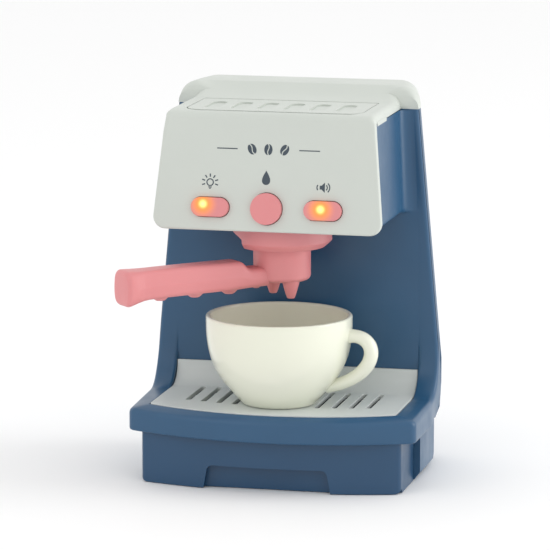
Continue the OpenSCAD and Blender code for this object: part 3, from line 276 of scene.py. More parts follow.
steel = finish_with("zinc_steel", (0.60, 0.60, 0.62), 0.22, 0.36, Metallic=1.0)
clear = finish_with("clear_tank", (0.86, 0.90, 0.92), 0.12, 0.22, 0.05,
                    Transmission_Weight=0.85, IOR=1.49)
hose = finish_with("clear_hose", (0.82, 0.87, 0.87), 0.2, 0.34, 0.05,
                   Transmission_Weight=0.75, IOR=1.41)
board = finish_with("green_board", (0.02, 0.12, 0.05), 0.3, 0.45)
lens = finish_with("led_lens", (1.0, 0.80, 0.55), 0.06, 0.14, 0.02, Transmission_Weight=0.6)
wrap = finish_with("cell_wrap", (0.35, 0.20, 0.08), 0.22, 0.34)

# %% [markdown]
# ## Helpers that build a solid from sections
# Every soft form here is a closed skin stretched over a row of sections. Each section is a
# ring of points, a corner of it is rounded by a curve, and numpy works out all sections at
# once. A solid of several skins is joined into one mesh. Subdivided boxes would be quicker
# to begin with, but sections follow a written rule, so each edge lies where CAD has it.
#
# %% Numbers that blend


def lerp(a, b, t):
    """A value t of the way from a to b."""
    return a + (b - a) * t


def ease(t):
    """Goes from 0 to 1 as t does, and starts and ends gently: 3t^2 - 2t^3."""
    t = np.clip(t, 0, 1)
    return t * t * (3 - 2 * t)


def edge_drop(gap, radius):
    """How far a rounded edge falls at a distance gap from its end: r - sqrt(r^2 - (r - gap)^2)."""
    return radius * (1 - np.sqrt(1 - np.clip(1 - gap / radius, 0, 1) ** 2))


def points(*coordinates):
    """Joins x, y and z, numbers or rows of numbers, into rows of points."""
    return np.stack(np.broadcast_arrays(*coordinates), axis=-1).astype(float)


def mirrored(rows):
    """The same points on the other side of the toy's middle plane."""
    return rows * [-1, 1, 1]


print("halfway through an ease:", ease(0.5))

# %% Sections, fillets and skins


def tube(sections, ring=False):
    """A skin over sections of the same count; both ends are capped, or joined if ring."""
    rows, columns = sections.shape[:2]
    row, column = np.meshgrid(np.arange(rows if ring else rows - 1), np.arange(columns), indexing="ij")
    next_row, next_column = (row + 1) % rows, (column + 1) % columns
    corners = [row * columns + column, row * columns + next_column,
               next_row * columns + next_column, next_row * columns + column]
    faces = np.stack(corners, axis=-1).reshape(-1, 4).tolist()
    if not ring:
        faces += [list(range(columns)), list(range((rows - 1) * columns, rows * columns))]
    return sections.reshape(-1, 3), faces


def fillet(chains, radii, steps=5):
    """Rounds corners of closed chains of guide points, shaped (stations, corners, 3).

    Each corner V becomes the curve (1-t)^2 A + 2t(1-t) V + t^2 C, where A and C lie one
    radius before and after V. A corner whose radii are all zero stays one point."""
    radii = np.broadcast_to(radii, chains.shape[:2])
    t = np.linspace(0, 1, steps + 1)[None, :, None]
    rounded = []
    for k in range(chains.shape[1]):
        corner, radius = chains[:, k, None], radii[:, k, None, None]
        if not radii[:, k].any():
            rounded.append(corner)
            continue
        before = chains[:, k - 1, None] - corner
        after = chains[:, (k + 1) % chains.shape[1], None] - corner
        a = corner + radius * before / np.linalg.norm(before, axis=-1, keepdims=True)
        c = corner + radius * after / np.linalg.norm(after, axis=-1, keepdims=True)
        rounded.append((1 - t) ** 2 * a + 2 * t * (1 - t) * corner + t * t * c)
    return np.concatenate(rounded, axis=1)


def lathe(profile, axis, sides=96):
    """Turns a closed profile of (radius, height) rows about an upright axis at (x, y):
    x = x0 + r cos a, y = y0 + r sin a."""
    turn = np.linspace(0, 2 * np.pi, sides, endpoint=False)[:, None]
    radius, height = profile[:, 0], profile[:, 1]
    return tube(points(axis[0] + radius * np.cos(turn), axis[1] + radius * np.sin(turn),
                       height + 0 * turn), ring=True)


def upright_box(x0, x1, y0, y1, z0, z1):
    """A plain block whose y0 and y1 may vary along x."""
    x = np.linspace(x0, x1, np.size(y0)) if np.size(y0) > 1 else np.array([x0, x1])
    y0, y1 = np.broadcast_to(y0, x.shape), np.broadcast_to(y1, x.shape)
    corners = [points(x, y0, z0), points(x, y1, z0), points(x, y1, z1), points(x, y0, z1)]
    return tube(np.stack(corners, axis=1))


print("a unit block has", len(upright_box(0, 1, 0, 1, 0, 1)[1]), "faces")

# %% Meshes and pieces
CRISP_DEGREES = 38
SKIN_MERGE, NODE_MERGE = 0.005 * MM, 0.002 * MM


def smooth_shading(mesh):
    """Smooth faces, with the edges sharper than CRISP_DEGREES kept crisp."""
    mesh.shade_smooth()
    mesh.set_sharp_from_angle(angle=math.radians(CRISP_DEGREES))


def solid(name, *skins):
    """One mesh from closed skins given in mm: doubles merged, faces turned outwards."""
    shift, all_points, all_faces = 0, [], []
    for skin_points, faces in skins:
        all_points.append(skin_points)
        all_faces += [[index + shift for index in face] for face in faces]
        shift += len(skin_points)
    mesh = bpy.data.meshes.new(name)
    mesh.from_pydata((np.concatenate(all_points) * MM).tolist(), [], all_faces)
    shape = bmesh.new()
    shape.from_mesh(mesh)
    bmesh.ops.remove_doubles(shape, verts=shape.verts, dist=SKIN_MERGE)
    bmesh.ops.recalc_face_normals(shape, faces=shape.faces)
    shape.to_mesh(mesh)
    shape.free()
    smooth_shading(mesh)
    print(name, "has", len(mesh.polygons), "faces")
    return mesh


def add_piece(name, mesh, material, body, replaced):
    """Links a finished mesh, which rides on a body and stands for CAD nodes."""
    mesh.materials.clear()
    mesh.materials.append(material)
    piece = bpy.data.objects.new(name, mesh)
    link(piece)
    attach(piece, body)
    if replaced:
        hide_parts(*replaced)


# %% [markdown]
# ## Rounded copies and cut holes
# Where the CAD node has the right shape but knife-sharp edges, a copy is merged, its flat
# fans are joined into single faces, and a bevel rounds the edges. A moulded edge always has
# such a radius, and it catches the light. Holes are cut with an exact boolean before the
# bevel, so that their rims are rounded too.
#
# %% Finishing modifiers
EVEN_LIGHT = ("WEIGHTED_NORMAL", {"keep_sharp": True})
RIM_DEGREES, COPY_DEGREES, COPY_STEPS, FLAT_DEGREES = 60, 28, 3, 0.4


def bevel(width, steps, degrees, **settings):
    """A bevel of width mm on every edge sharper than the angle."""
    return "BEVEL", {"width": width * MM, "segments": steps, "limit_method": "ANGLE",
                     "angle_limit": math.radians(degrees), **settings}


def finished(mesh, *modifiers):
    """The mesh after a few modifiers, each given as (type, settings)."""
    carrier = bpy.data.objects.new(mesh.name + "_carrier", mesh)
    link(carrier)
    for number, (kind, settings) in enumerate(modifiers):
        modifier = carrier.modifiers.new("step_%d" % number, kind)
        for setting, value in settings.items():
            setattr(modifier, setting, value)
    result = bpy.data.meshes.new_from_object(carrier.evaluated_get(bpy.context.evaluated_depsgraph_get()))
    bpy.data.objects.remove(carrier)
    return result


def cutter(name, cutting_skin):
    """An object that only cuts, and is deleted afterwards."""
    tool = bpy.data.objects.new(name, solid(name, cutting_skin))
    link(tool)
    return tool


def carved(mesh, tools, *modifiers):
    """The mesh with the tools' shapes cut away, and then a few modifiers more."""
    cuts = [("BOOLEAN", {"object": tool, "solver": "EXACT"}) for tool in tools]
    result = finished(mesh, *cuts, *modifiers)
    for tool in tools:
        bpy.data.objects.remove(tool)
    return result


def merged_copy(node):
    """A copy of a CAD node's mesh with its doubles merged and its flat faces joined."""
    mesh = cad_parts[node].data.copy()
    mesh.name = node + "_soft"
    shape = bmesh.new()
    shape.from_mesh(mesh)
    bmesh.ops.remove_doubles(shape, verts=shape.verts, dist=NODE_MERGE)
    bmesh.ops.dissolve_limit(
        shape, angle_limit=math.radians(FLAT_DEGREES), verts=shape.verts, edges=shape.edges)
    shape.to_mesh(mesh)
    shape.free()
    return mesh


def round_node(node, radius, material, body, source=None):
    """Replaces a CAD node with a copy of it, or of an edited source, with rounded edges."""
    edges = bevel(radius, COPY_STEPS, COPY_DEGREES, miter_outer="MITER_ARC")
    mesh = finished(source or merged_copy(node), edges)
    smooth_shading(mesh)
    print(node, "rounded:", len(mesh.polygons), "faces")
    add_piece("soft_" + node, finished(mesh, EVEN_LIGHT), material, body, [node])


def vertex_places(mesh):
    """The mesh's vertices as rows of x, y and z in metres."""
    places = np.empty(3 * len(mesh.vertices))
    mesh.vertices.foreach_get("co", places)
    return places.reshape(-1, 3)


print("CAD nodes to dress:", len(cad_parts))

# %% [markdown]
# ## The blue front shell
# One rail runs down the column's edge, sweeps forward in a quarter of an ellipse, follows
# the deck's side, turns the corner and bows across the front. It is mirrored for the left.
# Each section has an inner foot, an inner edge, the outer crest, three points down the
# side, the lower edge and an inner return. The panel, the head's walls and floor and the
# ledge under the tray are skins of their own. A box with many bevels could stand in for all
# this, but the rail's section changes all the way down, and a row of sections follows it.
#
# %% Sides of the column and the deck
TOP_Z, DECK_Z, RIM_Z = 213.5, 29.9, 45.5
PANEL_Y, PANEL_HALF, SEAM_Y = 36.0, 73.1, 42.0
COLUMN_HALF, COLUMN_TAPER, TAPER_Z, TAPER_BLEND = 85.3, 0.0908, 65.9, 6
TUCK, TUCK_Z, TUCK_H = 3.5, 51.9, 22
LIP_HALF, LIP_FRONT, LIP_BOW, LIP_CORNER = 85.0, 52.5, 190.0, 5.0
RIM_FRONT, RIM_BOW, RIM_CORNER = 47.4, 160.0, 3.3
SWEEP_Y, SWEEP_D, SWEEP_H = 14.0, 22.0, 29.5
DOWN_ROWS, SWEEP_ROWS, SIDE_ROWS, CORNER_ROWS, FRONT_ROWS = 26, 32, 14, 10, 26


def column_half(z):
    """Half width of the column at height z: straight, then drawn in upwards through a soft
    bend, s b ln(1 + e^((z - z0) / b)), and tucked in at the foot by a cube."""
    tuck = TUCK * np.clip((TUCK_Z - z) / TUCK_H, 0, 1.1) ** 3
    taper = COLUMN_TAPER * TAPER_BLEND * np.log1p(np.exp((z - TAPER_Z) / TAPER_BLEND))
    return COLUMN_HALF - tuck - taper


def side_x(y, z):
    """Half width at depth y: the deck's straight side blends into the column's."""
    return lerp(LIP_HALF, column_half(z), ease((y - SWEEP_Y) / SWEEP_D))


def deck_edge(half, front, bow, corner):
    """x and y of the deck's edge: back to front along its straight right side, round a corner
    of radius corner, and along a front bowed by radius bow to the middle."""
    bow_y = bow - front
    corner_x = half - corner
    corner_y = bow_y - math.sqrt((bow - corner) ** 2 - corner_x ** 2)
    meeting = math.atan2(corner_y - bow_y, corner_x)
    a = np.linspace(0, meeting, CORNER_ROWS)
    b = np.linspace(meeting, -np.pi / 2, FRONT_ROWS)[1:]
    straight = np.linspace(SWEEP_Y, corner_y, SIDE_ROWS + 2)[1:-1]
    x = np.concatenate([np.full(SIDE_ROWS, half), corner_x + corner * np.cos(a), bow * np.cos(b)])
    y = np.concatenate([straight, corner_y + corner * np.sin(a), bow_y + bow * np.sin(b)])
    return x, y


print("the column is", round(2 * float(column_half(TOP_Z)), 1), "mm wide at its top")

# %% The rail's guide rows
PANEL_EDGE, FOOT_DEPTH, FOOT_SWELL = 5, 2.2, 9
LOWER_TURN, CREST_STEP = 0.6, 0.3
CREST_BACK, CREST_LOW, CREST_FALL = 45.2, 42.2, 0.0573


def rail_down():
    """Foot, inner edge, crest and lower edge in rows down the column."""
    z = np.linspace(TOP_Z, RIM_Z + SWEEP_H, DOWN_ROWS)
    half = column_half(z)
    inner_x = np.minimum(PANEL_HALF, half - PANEL_EDGE)
    return [points(inner_x - PANEL_EDGE, PANEL_Y + 0.3, z), points(inner_x, PANEL_Y, z),
            points(half, PANEL_Y, z), points(half, SEAM_Y, z)]


def rail_sweep():
    """The same four round the sweep, y = y0 + d cos a and z = z0 + h (1 - sin a)."""
    turn = np.linspace(0, 1, SWEEP_ROWS + 1)[1:]
    a = turn * np.pi / 2
    y, z = SWEEP_Y + SWEEP_D * np.cos(a), RIM_Z + SWEEP_H * (1 - np.sin(a))
    depth = FOOT_DEPTH + FOOT_SWELL * np.sin(np.pi * turn)
    foot_x = PANEL_HALF - PANEL_EDGE * (1 - ease(turn / 0.45))
    lower_y = lerp(SEAM_Y, SWEEP_Y, np.clip((turn - LOWER_TURN) / (1 - LOWER_TURN), 0, 1))
    lower_z = lerp(RIM_Z + SWEEP_H, DECK_Z, np.clip(turn / LOWER_TURN, 0, 1))
    crest_z = z - CREST_STEP * turn
    return [points(foot_x, y + depth * np.cos(a), z - depth * np.sin(a)), points(PANEL_HALF, y, z),
            points(side_x(y, crest_z), y, crest_z), points(side_x(lower_y, lower_z), lower_y, lower_z)]


def rail_round_deck():
    """The same four along the deck, whose crest falls gently towards the front."""
    x, y = deck_edge(LIP_HALF, LIP_FRONT, LIP_BOW, LIP_CORNER)
    rim_x, rim_y = deck_edge(PANEL_HALF, RIM_FRONT, RIM_BOW, RIM_CORNER)
    crest_z = np.maximum(CREST_LOW, CREST_BACK - CREST_FALL * (SWEEP_Y - y))
    return [points(rim_x, rim_y, RIM_Z - FOOT_DEPTH), points(rim_x, rim_y, RIM_Z),
            points(x, y, crest_z), points(x, y, DECK_Z)]


rail_rows = [np.concatenate(rows) for rows in zip(rail_down(), rail_sweep(), rail_round_deck())]
print("half the rail has", len(rail_rows[0]), "sections")

# %% The rail's skin
WALL = 2.4
INNER_R, CREST_R, LOWER_R = (2.2, 0.7), (2.6, 3.0), (0.3, 1.6)


def rail_skin():
    """The rail, closed by three points down its side and a return one wall further in. The
    radii of its edges go from their column values to their deck values round the sweep."""
    foot, inner, crest, lower = rail_rows
    side = [lerp(crest, lower, t) for t in (0.25, 0.5, 0.75)]
    for row in side:
        behind = row[:, 1] > SWEEP_Y
        row[behind, 0] = side_x(row[behind, 1], row[behind, 2])
    station = np.arange(len(foot))
    on_deck = station >= DOWN_ROWS + SWEEP_ROWS
    inward = points(foot[:, 0] - lower[:, 0], (foot[:, 1] - lower[:, 1]) * on_deck, 0)
    inward *= WALL / np.linalg.norm(inward, axis=-1, keepdims=True)
    chains = np.stack([foot, inner, crest, *side, lower, lower + inward], axis=1)
    progress = np.clip((station - DOWN_ROWS) / SWEEP_ROWS, 0, 1)
    none = 0 * progress
    radii = np.stack([none, lerp(*INNER_R, progress), lerp(*CREST_R, progress), none, none, none,
                      lerp(*LOWER_R, progress), none], axis=1)
    chains = np.concatenate([chains, mirrored(chains)[-2::-1]])
    radii = np.concatenate([radii, radii[-2::-1]])
    return tube(fillet(chains, radii))


rail = rail_skin()
print("the rail has", len(rail[1]), "faces")

# %% The head's walls and floor
HEAD_Z, HEAD_TOP, HEAD_LOW_HALF, HEAD_TOP_HALF = 152.8, 213.0, 63.8, 61.3
FASCIA_Z, FASCIA_Y, FASCIA_T, LEAN = 151.2, -44.3, 3.0, math.radians(7.8)
FLOOR_T, EDGE_R, BLEND_R, INNER_LIMIT = 1.4, 3.0, 8.0, 62.0


def head_half(z):
    """Half width of the head, drawn in along its rounded lower edge."""
    flat_side = lerp(HEAD_LOW_HALF, HEAD_TOP_HALF, (z - HEAD_Z) / (HEAD_TOP - HEAD_Z))
    return flat_side - edge_drop(z - HEAD_Z, EDGE_R)


def head_front(z):
    """y of the fascia's back face."""
    return FASCIA_Y + (z - FASCIA_Z) * math.tan(LEAN) + FASCIA_T / math.cos(LEAN)


def head_side(z):
    """Right edge of the head in plan at heights z: straight from the front, then a quarter
    circle that flares out to the panel."""
    half, front = head_half(z)[:, None], head_front(z)[:, None]
    angle = np.linspace(np.pi, np.pi / 2, 9)
    x = np.concatenate([half, half, half + BLEND_R * (1 + np.cos(angle)), half + BLEND_R + 0 * half], axis=1)
    y = np.concatenate([front, front + 2, PANEL_Y - BLEND_R * (1 - np.sin(angle)) + 0 * half,
                        PANEL_Y + 1.6 + 0 * half], axis=1)
    return points(x, y, z[:, None])


def head_wall():
    """The right wall of the head: its outer side, and a flat inner side one wall further in."""
    rounded = np.linspace(HEAD_Z + FLOOR_T, HEAD_Z + EDGE_R, 6)
    upright = np.linspace(HEAD_Z + EDGE_R, HEAD_TOP, 12)[1:]
    outer = head_side(np.concatenate([rounded, upright]))
    flat = outer[:, [-1, 0]]
    flat[:, :, 0] = np.minimum(outer[:, :1, 0] - WALL, INNER_LIMIT)
    return np.concatenate([outer, flat], axis=1)


def head_floor():
    """The head's floor, whose sides close the lower edge's rounding."""
    right = head_side(HEAD_Z + FLOOR_T * (1 - np.cos(np.linspace(0, np.pi / 2, 6))))
    return np.concatenate([right, mirrored(right)[:, ::-1]], axis=1)


head_skins = [tube(head_wall()), tube(mirrored(head_wall())), tube(head_floor())]
print("the head is", round(2 * float(head_half(HEAD_TOP)), 1), "mm wide at its top")

# %% Panel and ledge, and the whole shell
LEDGE_TOP, LEDGE_LOW, LEDGE_BACK = 44.08, 42.5, PANEL_Y - 0.1
DRAIN_X, DRAIN_FRONT, DRAIN_BACK = 64.0, -34.0, 27.0
PANEL_T = 1.7


def ledge_front(x):
    """y just inside the rim's bowed inner wall."""
    return RIM_BOW - RIM_FRONT + 0.6 - np.sqrt(RIM_BOW ** 2 - x ** 2)


def ledge_strip(x0, x1, front, back):
    """One strip of the ledge that carries the tray."""
    return upright_box(x0, x1, front, back, LEDGE_LOW, LEDGE_TOP)


def back_panel():
    """The column's face: a thin sheet that keeps inside the rail's edge at each height."""
    z = np.linspace(LEDGE_LOW, TOP_Z, 12)
    half = np.minimum(PANEL_HALF, column_half(z) - PANEL_EDGE) - 0.3
    corners = ((-1, -0.02), (1, -0.02), (1, PANEL_T), (-1, PANEL_T))
    return tube(np.stack([points(side * half, PANEL_Y + back, z) for side, back in corners], axis=1))


drain_front = ledge_front(np.linspace(-DRAIN_X, DRAIN_X, 33))
side_front = ledge_front(np.linspace(DRAIN_X, PANEL_HALF, 7))
ledge = [ledge_strip(-DRAIN_X, DRAIN_X, drain_front, np.maximum(DRAIN_FRONT, drain_front + 0.6)),
         ledge_strip(DRAIN_X, PANEL_HALF + 0.2, side_front, LEDGE_BACK),
         ledge_strip(-PANEL_HALF - 0.2, -DRAIN_X, side_front[::-1], LEDGE_BACK),
         ledge_strip(-DRAIN_X, DRAIN_X, DRAIN_BACK, LEDGE_BACK)]
front_shell = solid("front_shell_form", rail, *head_skins, back_panel(), *ledge)
add_piece("front_shell_form", front_shell, navy, "case", ["front_shell"])

# %% [markdown]
# ## The white cover
# The plate over the head and the cap over the column share one height rule: a flat, then a
# rising wave to the ridge, then a fall to the back. Near an edge the surface drops along a
# circle whose radius grows from the plate's small edge to the cap's full shoulder. The
# lid's pocket is cut out of the plate afterwards. Sculpting could give such a form too, but
# one rule for both parts keeps them level where they meet.
#
# %% Height of the cover
COVER_Z, PLATE_Z, RIDGE_Z = 213.52, 218.5, 226.5
CREST_RISE, FRONT_DROOP, BACK_FALL = 0.4, 0.4, 9
RISE_Y, RISE_D, CREST_Y, CREST_D = 22.2, 21.8, 44, 12
FALL_Y, FALL_D, DROOP_Y, DROOP_D = 66, 19, -25, 6.5
PLATE_R, SHOULDER_R, EDGE_LAND = 3.5, 5.5, 0.8


def share(y, start, length):
    """How much of a stretch lies before y, from 0 to 1."""
    return np.clip((y - start) / length, 0, 1)


def crown(y):
    """Height of the cover's middle line: flat, a rise of 1 - cos, a crest and a fall."""
    rise = (RIDGE_Z - PLATE_Z - CREST_RISE) * (1 - np.cos(np.pi / 2 * share(y, RISE_Y, RISE_D)))
    crest = CREST_RISE * np.sin(np.pi / 2 * share(y, CREST_Y, CREST_D))
    fall = BACK_FALL * (1 - np.cos(np.pi / 2 * share(y, FALL_Y, FALL_D)))
    droop = FRONT_DROOP * ease((DROOP_Y - y) / DROOP_D)
    return PLATE_Z + rise + crest - fall - droop


def edge_radius(y):
    """Radius of the rounding along the side edge at y."""
    return lerp(PLATE_R, np.clip(crown(y) - COVER_Z - EDGE_LAND, PLATE_R, 11), ease((y - 8) / 28))


def covering(x, y, top):
    """A solid between a surface of rows and the cover's flat underside."""
    return tube(np.concatenate([points(x, y, top), points(x, y, COVER_Z)[:, ::-1]], axis=1))


even = np.linspace(-1, 1, 97)
across = np.sin(even * np.pi / 2) * 0.75 + even * 0.25
print("crown at the lid and the ridge:", [round(float(crown(y)), 1) for y in (0, 56)])

# %% The plate and its cuts
PLATE_HALF, PLATE_FRONT = 61.4, -31.5
LID_HALF, LID_FRONT, LID_BACK, LID_R, LID_GAP = 51.5, -29.0, 21.2, 9.0, 0.55
LID_SEAT_Z, LID_FRONT_GAP = 216.2, 1.1
MOUTH_HALF, MOUTH_FRONT = 41, -17
PIN_HALF, PIN_FRONT, PIN_BACK, PIN_LOW, PIN_TOP = 55, 17.2, 20, 215, 217.8


def plate_skin():
    """The plate over the head: the crown, less the drop of its side edges."""
    y = np.linspace(PLATE_FRONT, PANEL_Y, 64)[:, None]
    x = across * PLATE_HALF
    return covering(x, y, crown(y) - edge_drop(PLATE_HALF - np.abs(x), edge_radius(y)))


def lid_pocket():
    """The lid's outline with its gap: two quarter circles at the front, square at the back."""
    bend = np.linspace(0, np.pi / 2, 13)
    edge_x = LID_HALF + LID_GAP
    x = np.concatenate([[edge_x], edge_x - LID_R * (1 - np.cos(bend))])
    y = np.concatenate([[LID_BACK], LID_FRONT - LID_FRONT_GAP + LID_R * (1 - np.sin(bend))])
    x, y = np.concatenate([x, -x[::-1]]), np.concatenate([y, y[::-1]])
    return tube(np.stack([points(x, y, z) for z in (LID_SEAT_Z, 240)]))


plate_cuts = [
    cutter("lid_pocket", lid_pocket()),
    cutter("mouth", upright_box(-MOUTH_HALF, MOUTH_HALF, MOUTH_FRONT, LID_BACK, 200, 217)),
    cutter("hinge_pins", upright_box(-PIN_HALF, PIN_HALF, PIN_FRONT, PIN_BACK, PIN_LOW, PIN_TOP))]
plate_mesh = carved(solid("plate_form", plate_skin()), plate_cuts, bevel(0.45, 3, RIM_DEGREES), EVEN_LIGHT)
add_piece("cover_plate", plate_mesh, white, "case", ["top_cover"])

# %% The cap
CAP_HALF, TAPER_Y, BACK_R, BACK_X, BACK_MID_Y, BACK_Y = 71.9, 43.0, 26.0, 41.36, 59.0, 85.0
SIDE_SLOPE = 10.0 / 42.0
SIDE_NORMAL = np.array([1, SIDE_SLOPE]) / math.hypot(1, SIDE_SLOPE)
TAB_X, TAB_FRONT, TAB_BACK, TAB_LOW, TAB_TOP = 61.1, -30, -5, 211.9, 214.5


def side_line(y):
    """Half width of the cap where its sides run straight, drawing in towards the back."""
    return CAP_HALF - SIDE_SLOPE * np.maximum(y - TAPER_Y, 0)


def cap_outline():
    """y and half width of the cap's rows: down the straight side, then round the back corner."""
    swing = np.linspace(math.asin(SIDE_NORMAL[1]), np.pi / 2, 26)
    straight_y = np.linspace(PANEL_Y, BACK_MID_Y + BACK_R * SIDE_NORMAL[1], 30)[:-1]
    y = np.concatenate([straight_y, BACK_MID_Y + BACK_R * np.sin(swing)])
    half = np.concatenate([side_line(straight_y), BACK_X + BACK_R * np.cos(swing)])
    return y[:, None], half[:, None]


def cap_skin():
    """The cap over the column: the crown, with full shoulders at both ends of the ridge, less
    the drop towards its outline."""
    y, half = cap_outline()
    x = across * half
    past_x, past_y = np.abs(x) - BACK_X, y - BACK_MID_Y
    straight_gap = np.minimum((side_line(y) - np.abs(x)) * SIDE_NORMAL[0], BACK_Y - y)
    in_corner = (past_x > 0) & (past_y > SIDE_SLOPE * past_x)
    gap = np.maximum(np.where(in_corner, BACK_R - np.hypot(past_x, past_y), straight_gap), 0)
    shoulder = RIDGE_Z - CREST_RISE - edge_drop(y - PANEL_Y, SHOULDER_R)
    end_z = np.where(y < CREST_Y, shoulder, crown(y))
    top = lerp(crown(y), end_z, ease((np.abs(x) - PLATE_HALF + 10) / 10))
    return covering(x, y, top - edge_drop(gap, np.clip(top - COVER_Z - EDGE_LAND, 0.3, 10.2)))


tabs = [upright_box(x - 0.5, x + 0.5, TAB_FRONT, TAB_BACK, TAB_LOW, TAB_TOP) for x in (-TAB_X, TAB_X)]
add_piece("cover_cap", solid("cover_cap", cap_skin(), *tabs), white, "case", [])

# %% [markdown]
# ## The cup
# The cup is a turned form with a round handle. It could be spun from a drawn outline, but a
# formula for its radius gives an even swelling that is easy to change: full early above the
# foot, and nearly upright at the rim. The handle is an oval carried along one curve.
#
# %% The cup
CUP_Y, CUP_Z, CUP_H, CUP_R, FOOT_R, CUP_WALL, LIP_R = -11.3, 45.92, 52.2, 42.5, 21.3, 3.0, 1.2
EAR_THICK, EAR_WIDE = 3.4, 4.1


def cup_radius(t):
    """Outer radius at height t from foot to rim: foot + (rim - foot) (1 - (1 - t)^3)^1.22."""
    return FOOT_R + (CUP_R - FOOT_R) * (1 - (1 - t) ** 3) ** 1.22


def cup_profile():
    """Foot ring, outer wall, rounded rim and inner wall, as one closed chain."""
    t = np.linspace(0.02, 1, 48)
    outside = points(cup_radius(t), CUP_H * t - LIP_R * (t == 1))
    around = np.linspace(0, np.pi, 9)[1:-1]
    lip = points(CUP_R - CUP_WALL * 0.45 * (1 - np.cos(around)), CUP_H - LIP_R + LIP_R * np.sin(around))
    down = t[::-1]
    inside = points(cup_radius(down) - CUP_WALL * (1.25 - 0.35 * down),
                    CUP_WALL + (CUP_H - LIP_R - CUP_WALL) * down)
    foot_ring = points([0.001, FOOT_R - 4.5, FOOT_R - 3.4, FOOT_R - 1.6, FOOT_R - 0.3],
                       [1.0, 1.0, 0.05, 0.0, 0.35])
    return np.concatenate([foot_ring, outside, lip, inside, [[0.001, CUP_WALL]]]) + [0, CUP_Z]


def bezier(t, *controls):
    """A cubic curve through the first and last of four control points:
    (1-t)^3 a + 3t(1-t)^2 b + 3t^2(1-t) c + t^3 d."""
    a, b, c, d = [np.array(control, float) for control in controls]
    t = t[:, None]
    return (1 - t) ** 3 * a + 3 * t * (1 - t) ** 2 * b + 3 * t * t * (1 - t) * c + t ** 3 * d


def ear():
    """The cup's handle: an oval carried down one curve, wider where it joins the wall."""
    t = np.linspace(0, 1, 49)
    reach = CUP_R + 16.6
    path = bezier(t, (CUP_R - 3, CUP_H * 0.78), (reach + 0.8, CUP_H * 0.86),
                  (reach + 3.3, CUP_H * 0.34), (cup_radius(0.2) - 2.0, CUP_H * 0.2))
    along = np.gradient(path, axis=0)
    along /= np.linalg.norm(along, axis=1, keepdims=True)
    flare = 1.06 + 0.2 * np.exp(-(t / 0.07) ** 2) + 0.16 * np.sin(np.pi * t)
    turn = np.linspace(0, 2 * np.pi, 24, endpoint=False)
    thick = (EAR_THICK * flare)[:, None] * np.cos(turn)
    x = path[:, :1] + along[:, 1:] * thick
    z = path[:, 1:] - along[:, :1] * thick
    return tube(points(x, CUP_Y + (EAR_WIDE * flare)[:, None] * np.sin(turn), z + CUP_Z))


cup = solid("cup_form", lathe(cup_profile(), (0, CUP_Y)), ear())
add_piece("cup_form", cup, cream, "cup", ["toy_cup"])

# %% [markdown]
# ## The portafilter
# A pink bowl with two spouts, and a handle that points forward to the left. The handle is a
# six-sided section with rounded corners, because its real form has soft ridges along both
# sides. It steps up behind the neck, flares at its end and has three finger knobs below,
# with a small fourth near the neck. Each knob is an upright cone that sinks into the grip.
#
# %% The handle
BREW_Y, YAW = -4.0, math.radians(180 + 43)
HANDLE_OUT = [13.2, 20, 24, 26.5, 28.5, 30.5, 32, 50, 73, 84, 90, 94, 97, 99.5, 101.5, 103, 105]
HANDLE_TOP = [126.2, 126.3, 126.4, 127.6, 129.8, 131.0, 131.2, 131.2, 131.1, 131, 130.9, 130.9, 131.0,
              131.2, 131.3, 131.3, 131.1]
HANDLE_LOW = [115.4, 115.2, 115.1, 115, 114.9, 114.8, 114.7, 114.5, 114.3, 114.1, 113.9, 113.4, 112.6,
              111.7, 111.0, 110.7, 110.6]
HANDLE_HALF = [8.6, 8.5, 8.4, 8.4, 8.45, 8.5, 8.5, 8.5, 8.5, 8.5, 8.6, 8.9, 9.5, 10.2, 10.5, 10.5, 10.3]
NECK_OUT, HANDLE_L = HANDLE_OUT[0], HANDLE_OUT[-1]
END_R, END_SHRINK, CAP_SHRINK = 2.4, 2.5, 5.5
FLARE_OUT, FLARE_D = 94, 8
CORNER_R, RIDGE_R, RIDGE_UP, RIDGE_IN = (3.2, 5.8), (0.9, 3.5), 0.46, 1.1
KNOB_OUT, KNOB_PITCH, KNOB_TOP = 80.0, 22.4, 116.5


def along_handle(out, sideways, z):
    """Points at a distance out along the handle and sideways from it."""
    x = out * math.cos(YAW) - sideways * math.sin(YAW)
    y = out * math.sin(YAW) + sideways * math.cos(YAW)
    return points(x, y + BREW_Y, z)


def handle_skin():
    """The handle: a neck at the bowl, a step up, a straight grip and a flared round end. Its
    end shrinks along an arc, c (1 - sqrt(1 - s^2)), and closes in a shallow dome."""
    dome = HANDLE_L - END_R + END_R * np.sin(np.linspace(0, np.pi / 2, 12))[1:]
    out = np.concatenate([np.linspace(NECK_OUT, 34, 28), np.linspace(36, 88, 10),
                          np.linspace(89, HANDLE_L - END_R, 24), dome])
    top, low, half = [np.interp(out, HANDLE_OUT, row) for row in (HANDLE_TOP, HANDLE_LOW, HANDLE_HALF)]
    middle = lerp(low, top, RIDGE_UP)
    shrink = END_SHRINK * (1 - np.sqrt(1 - (np.clip(out - HANDLE_L + END_R, 0, END_R) / END_R) ** 2))
    shrink[-1] += CAP_SHRINK
    top, low, half = top - shrink, low + shrink, half - shrink
    slim = half - RIDGE_IN
    chain = np.stack([along_handle(out, slim, top), along_handle(out, half, middle),
                      along_handle(out, slim, low), along_handle(out, -slim, low),
                      along_handle(out, -half, middle), along_handle(out, -slim, top)], axis=1)
    flared = ease((out - FLARE_OUT) / FLARE_D)
    corner = np.maximum(lerp(*CORNER_R, flared) - 0.8 * shrink, 0.6)
    ridge = np.maximum(lerp(*RIDGE_R, flared) - 0.5 * shrink, 0.4)
    return tube(fillet(chain, np.stack([corner, ridge, corner, corner, ridge, corner], axis=1), 6))


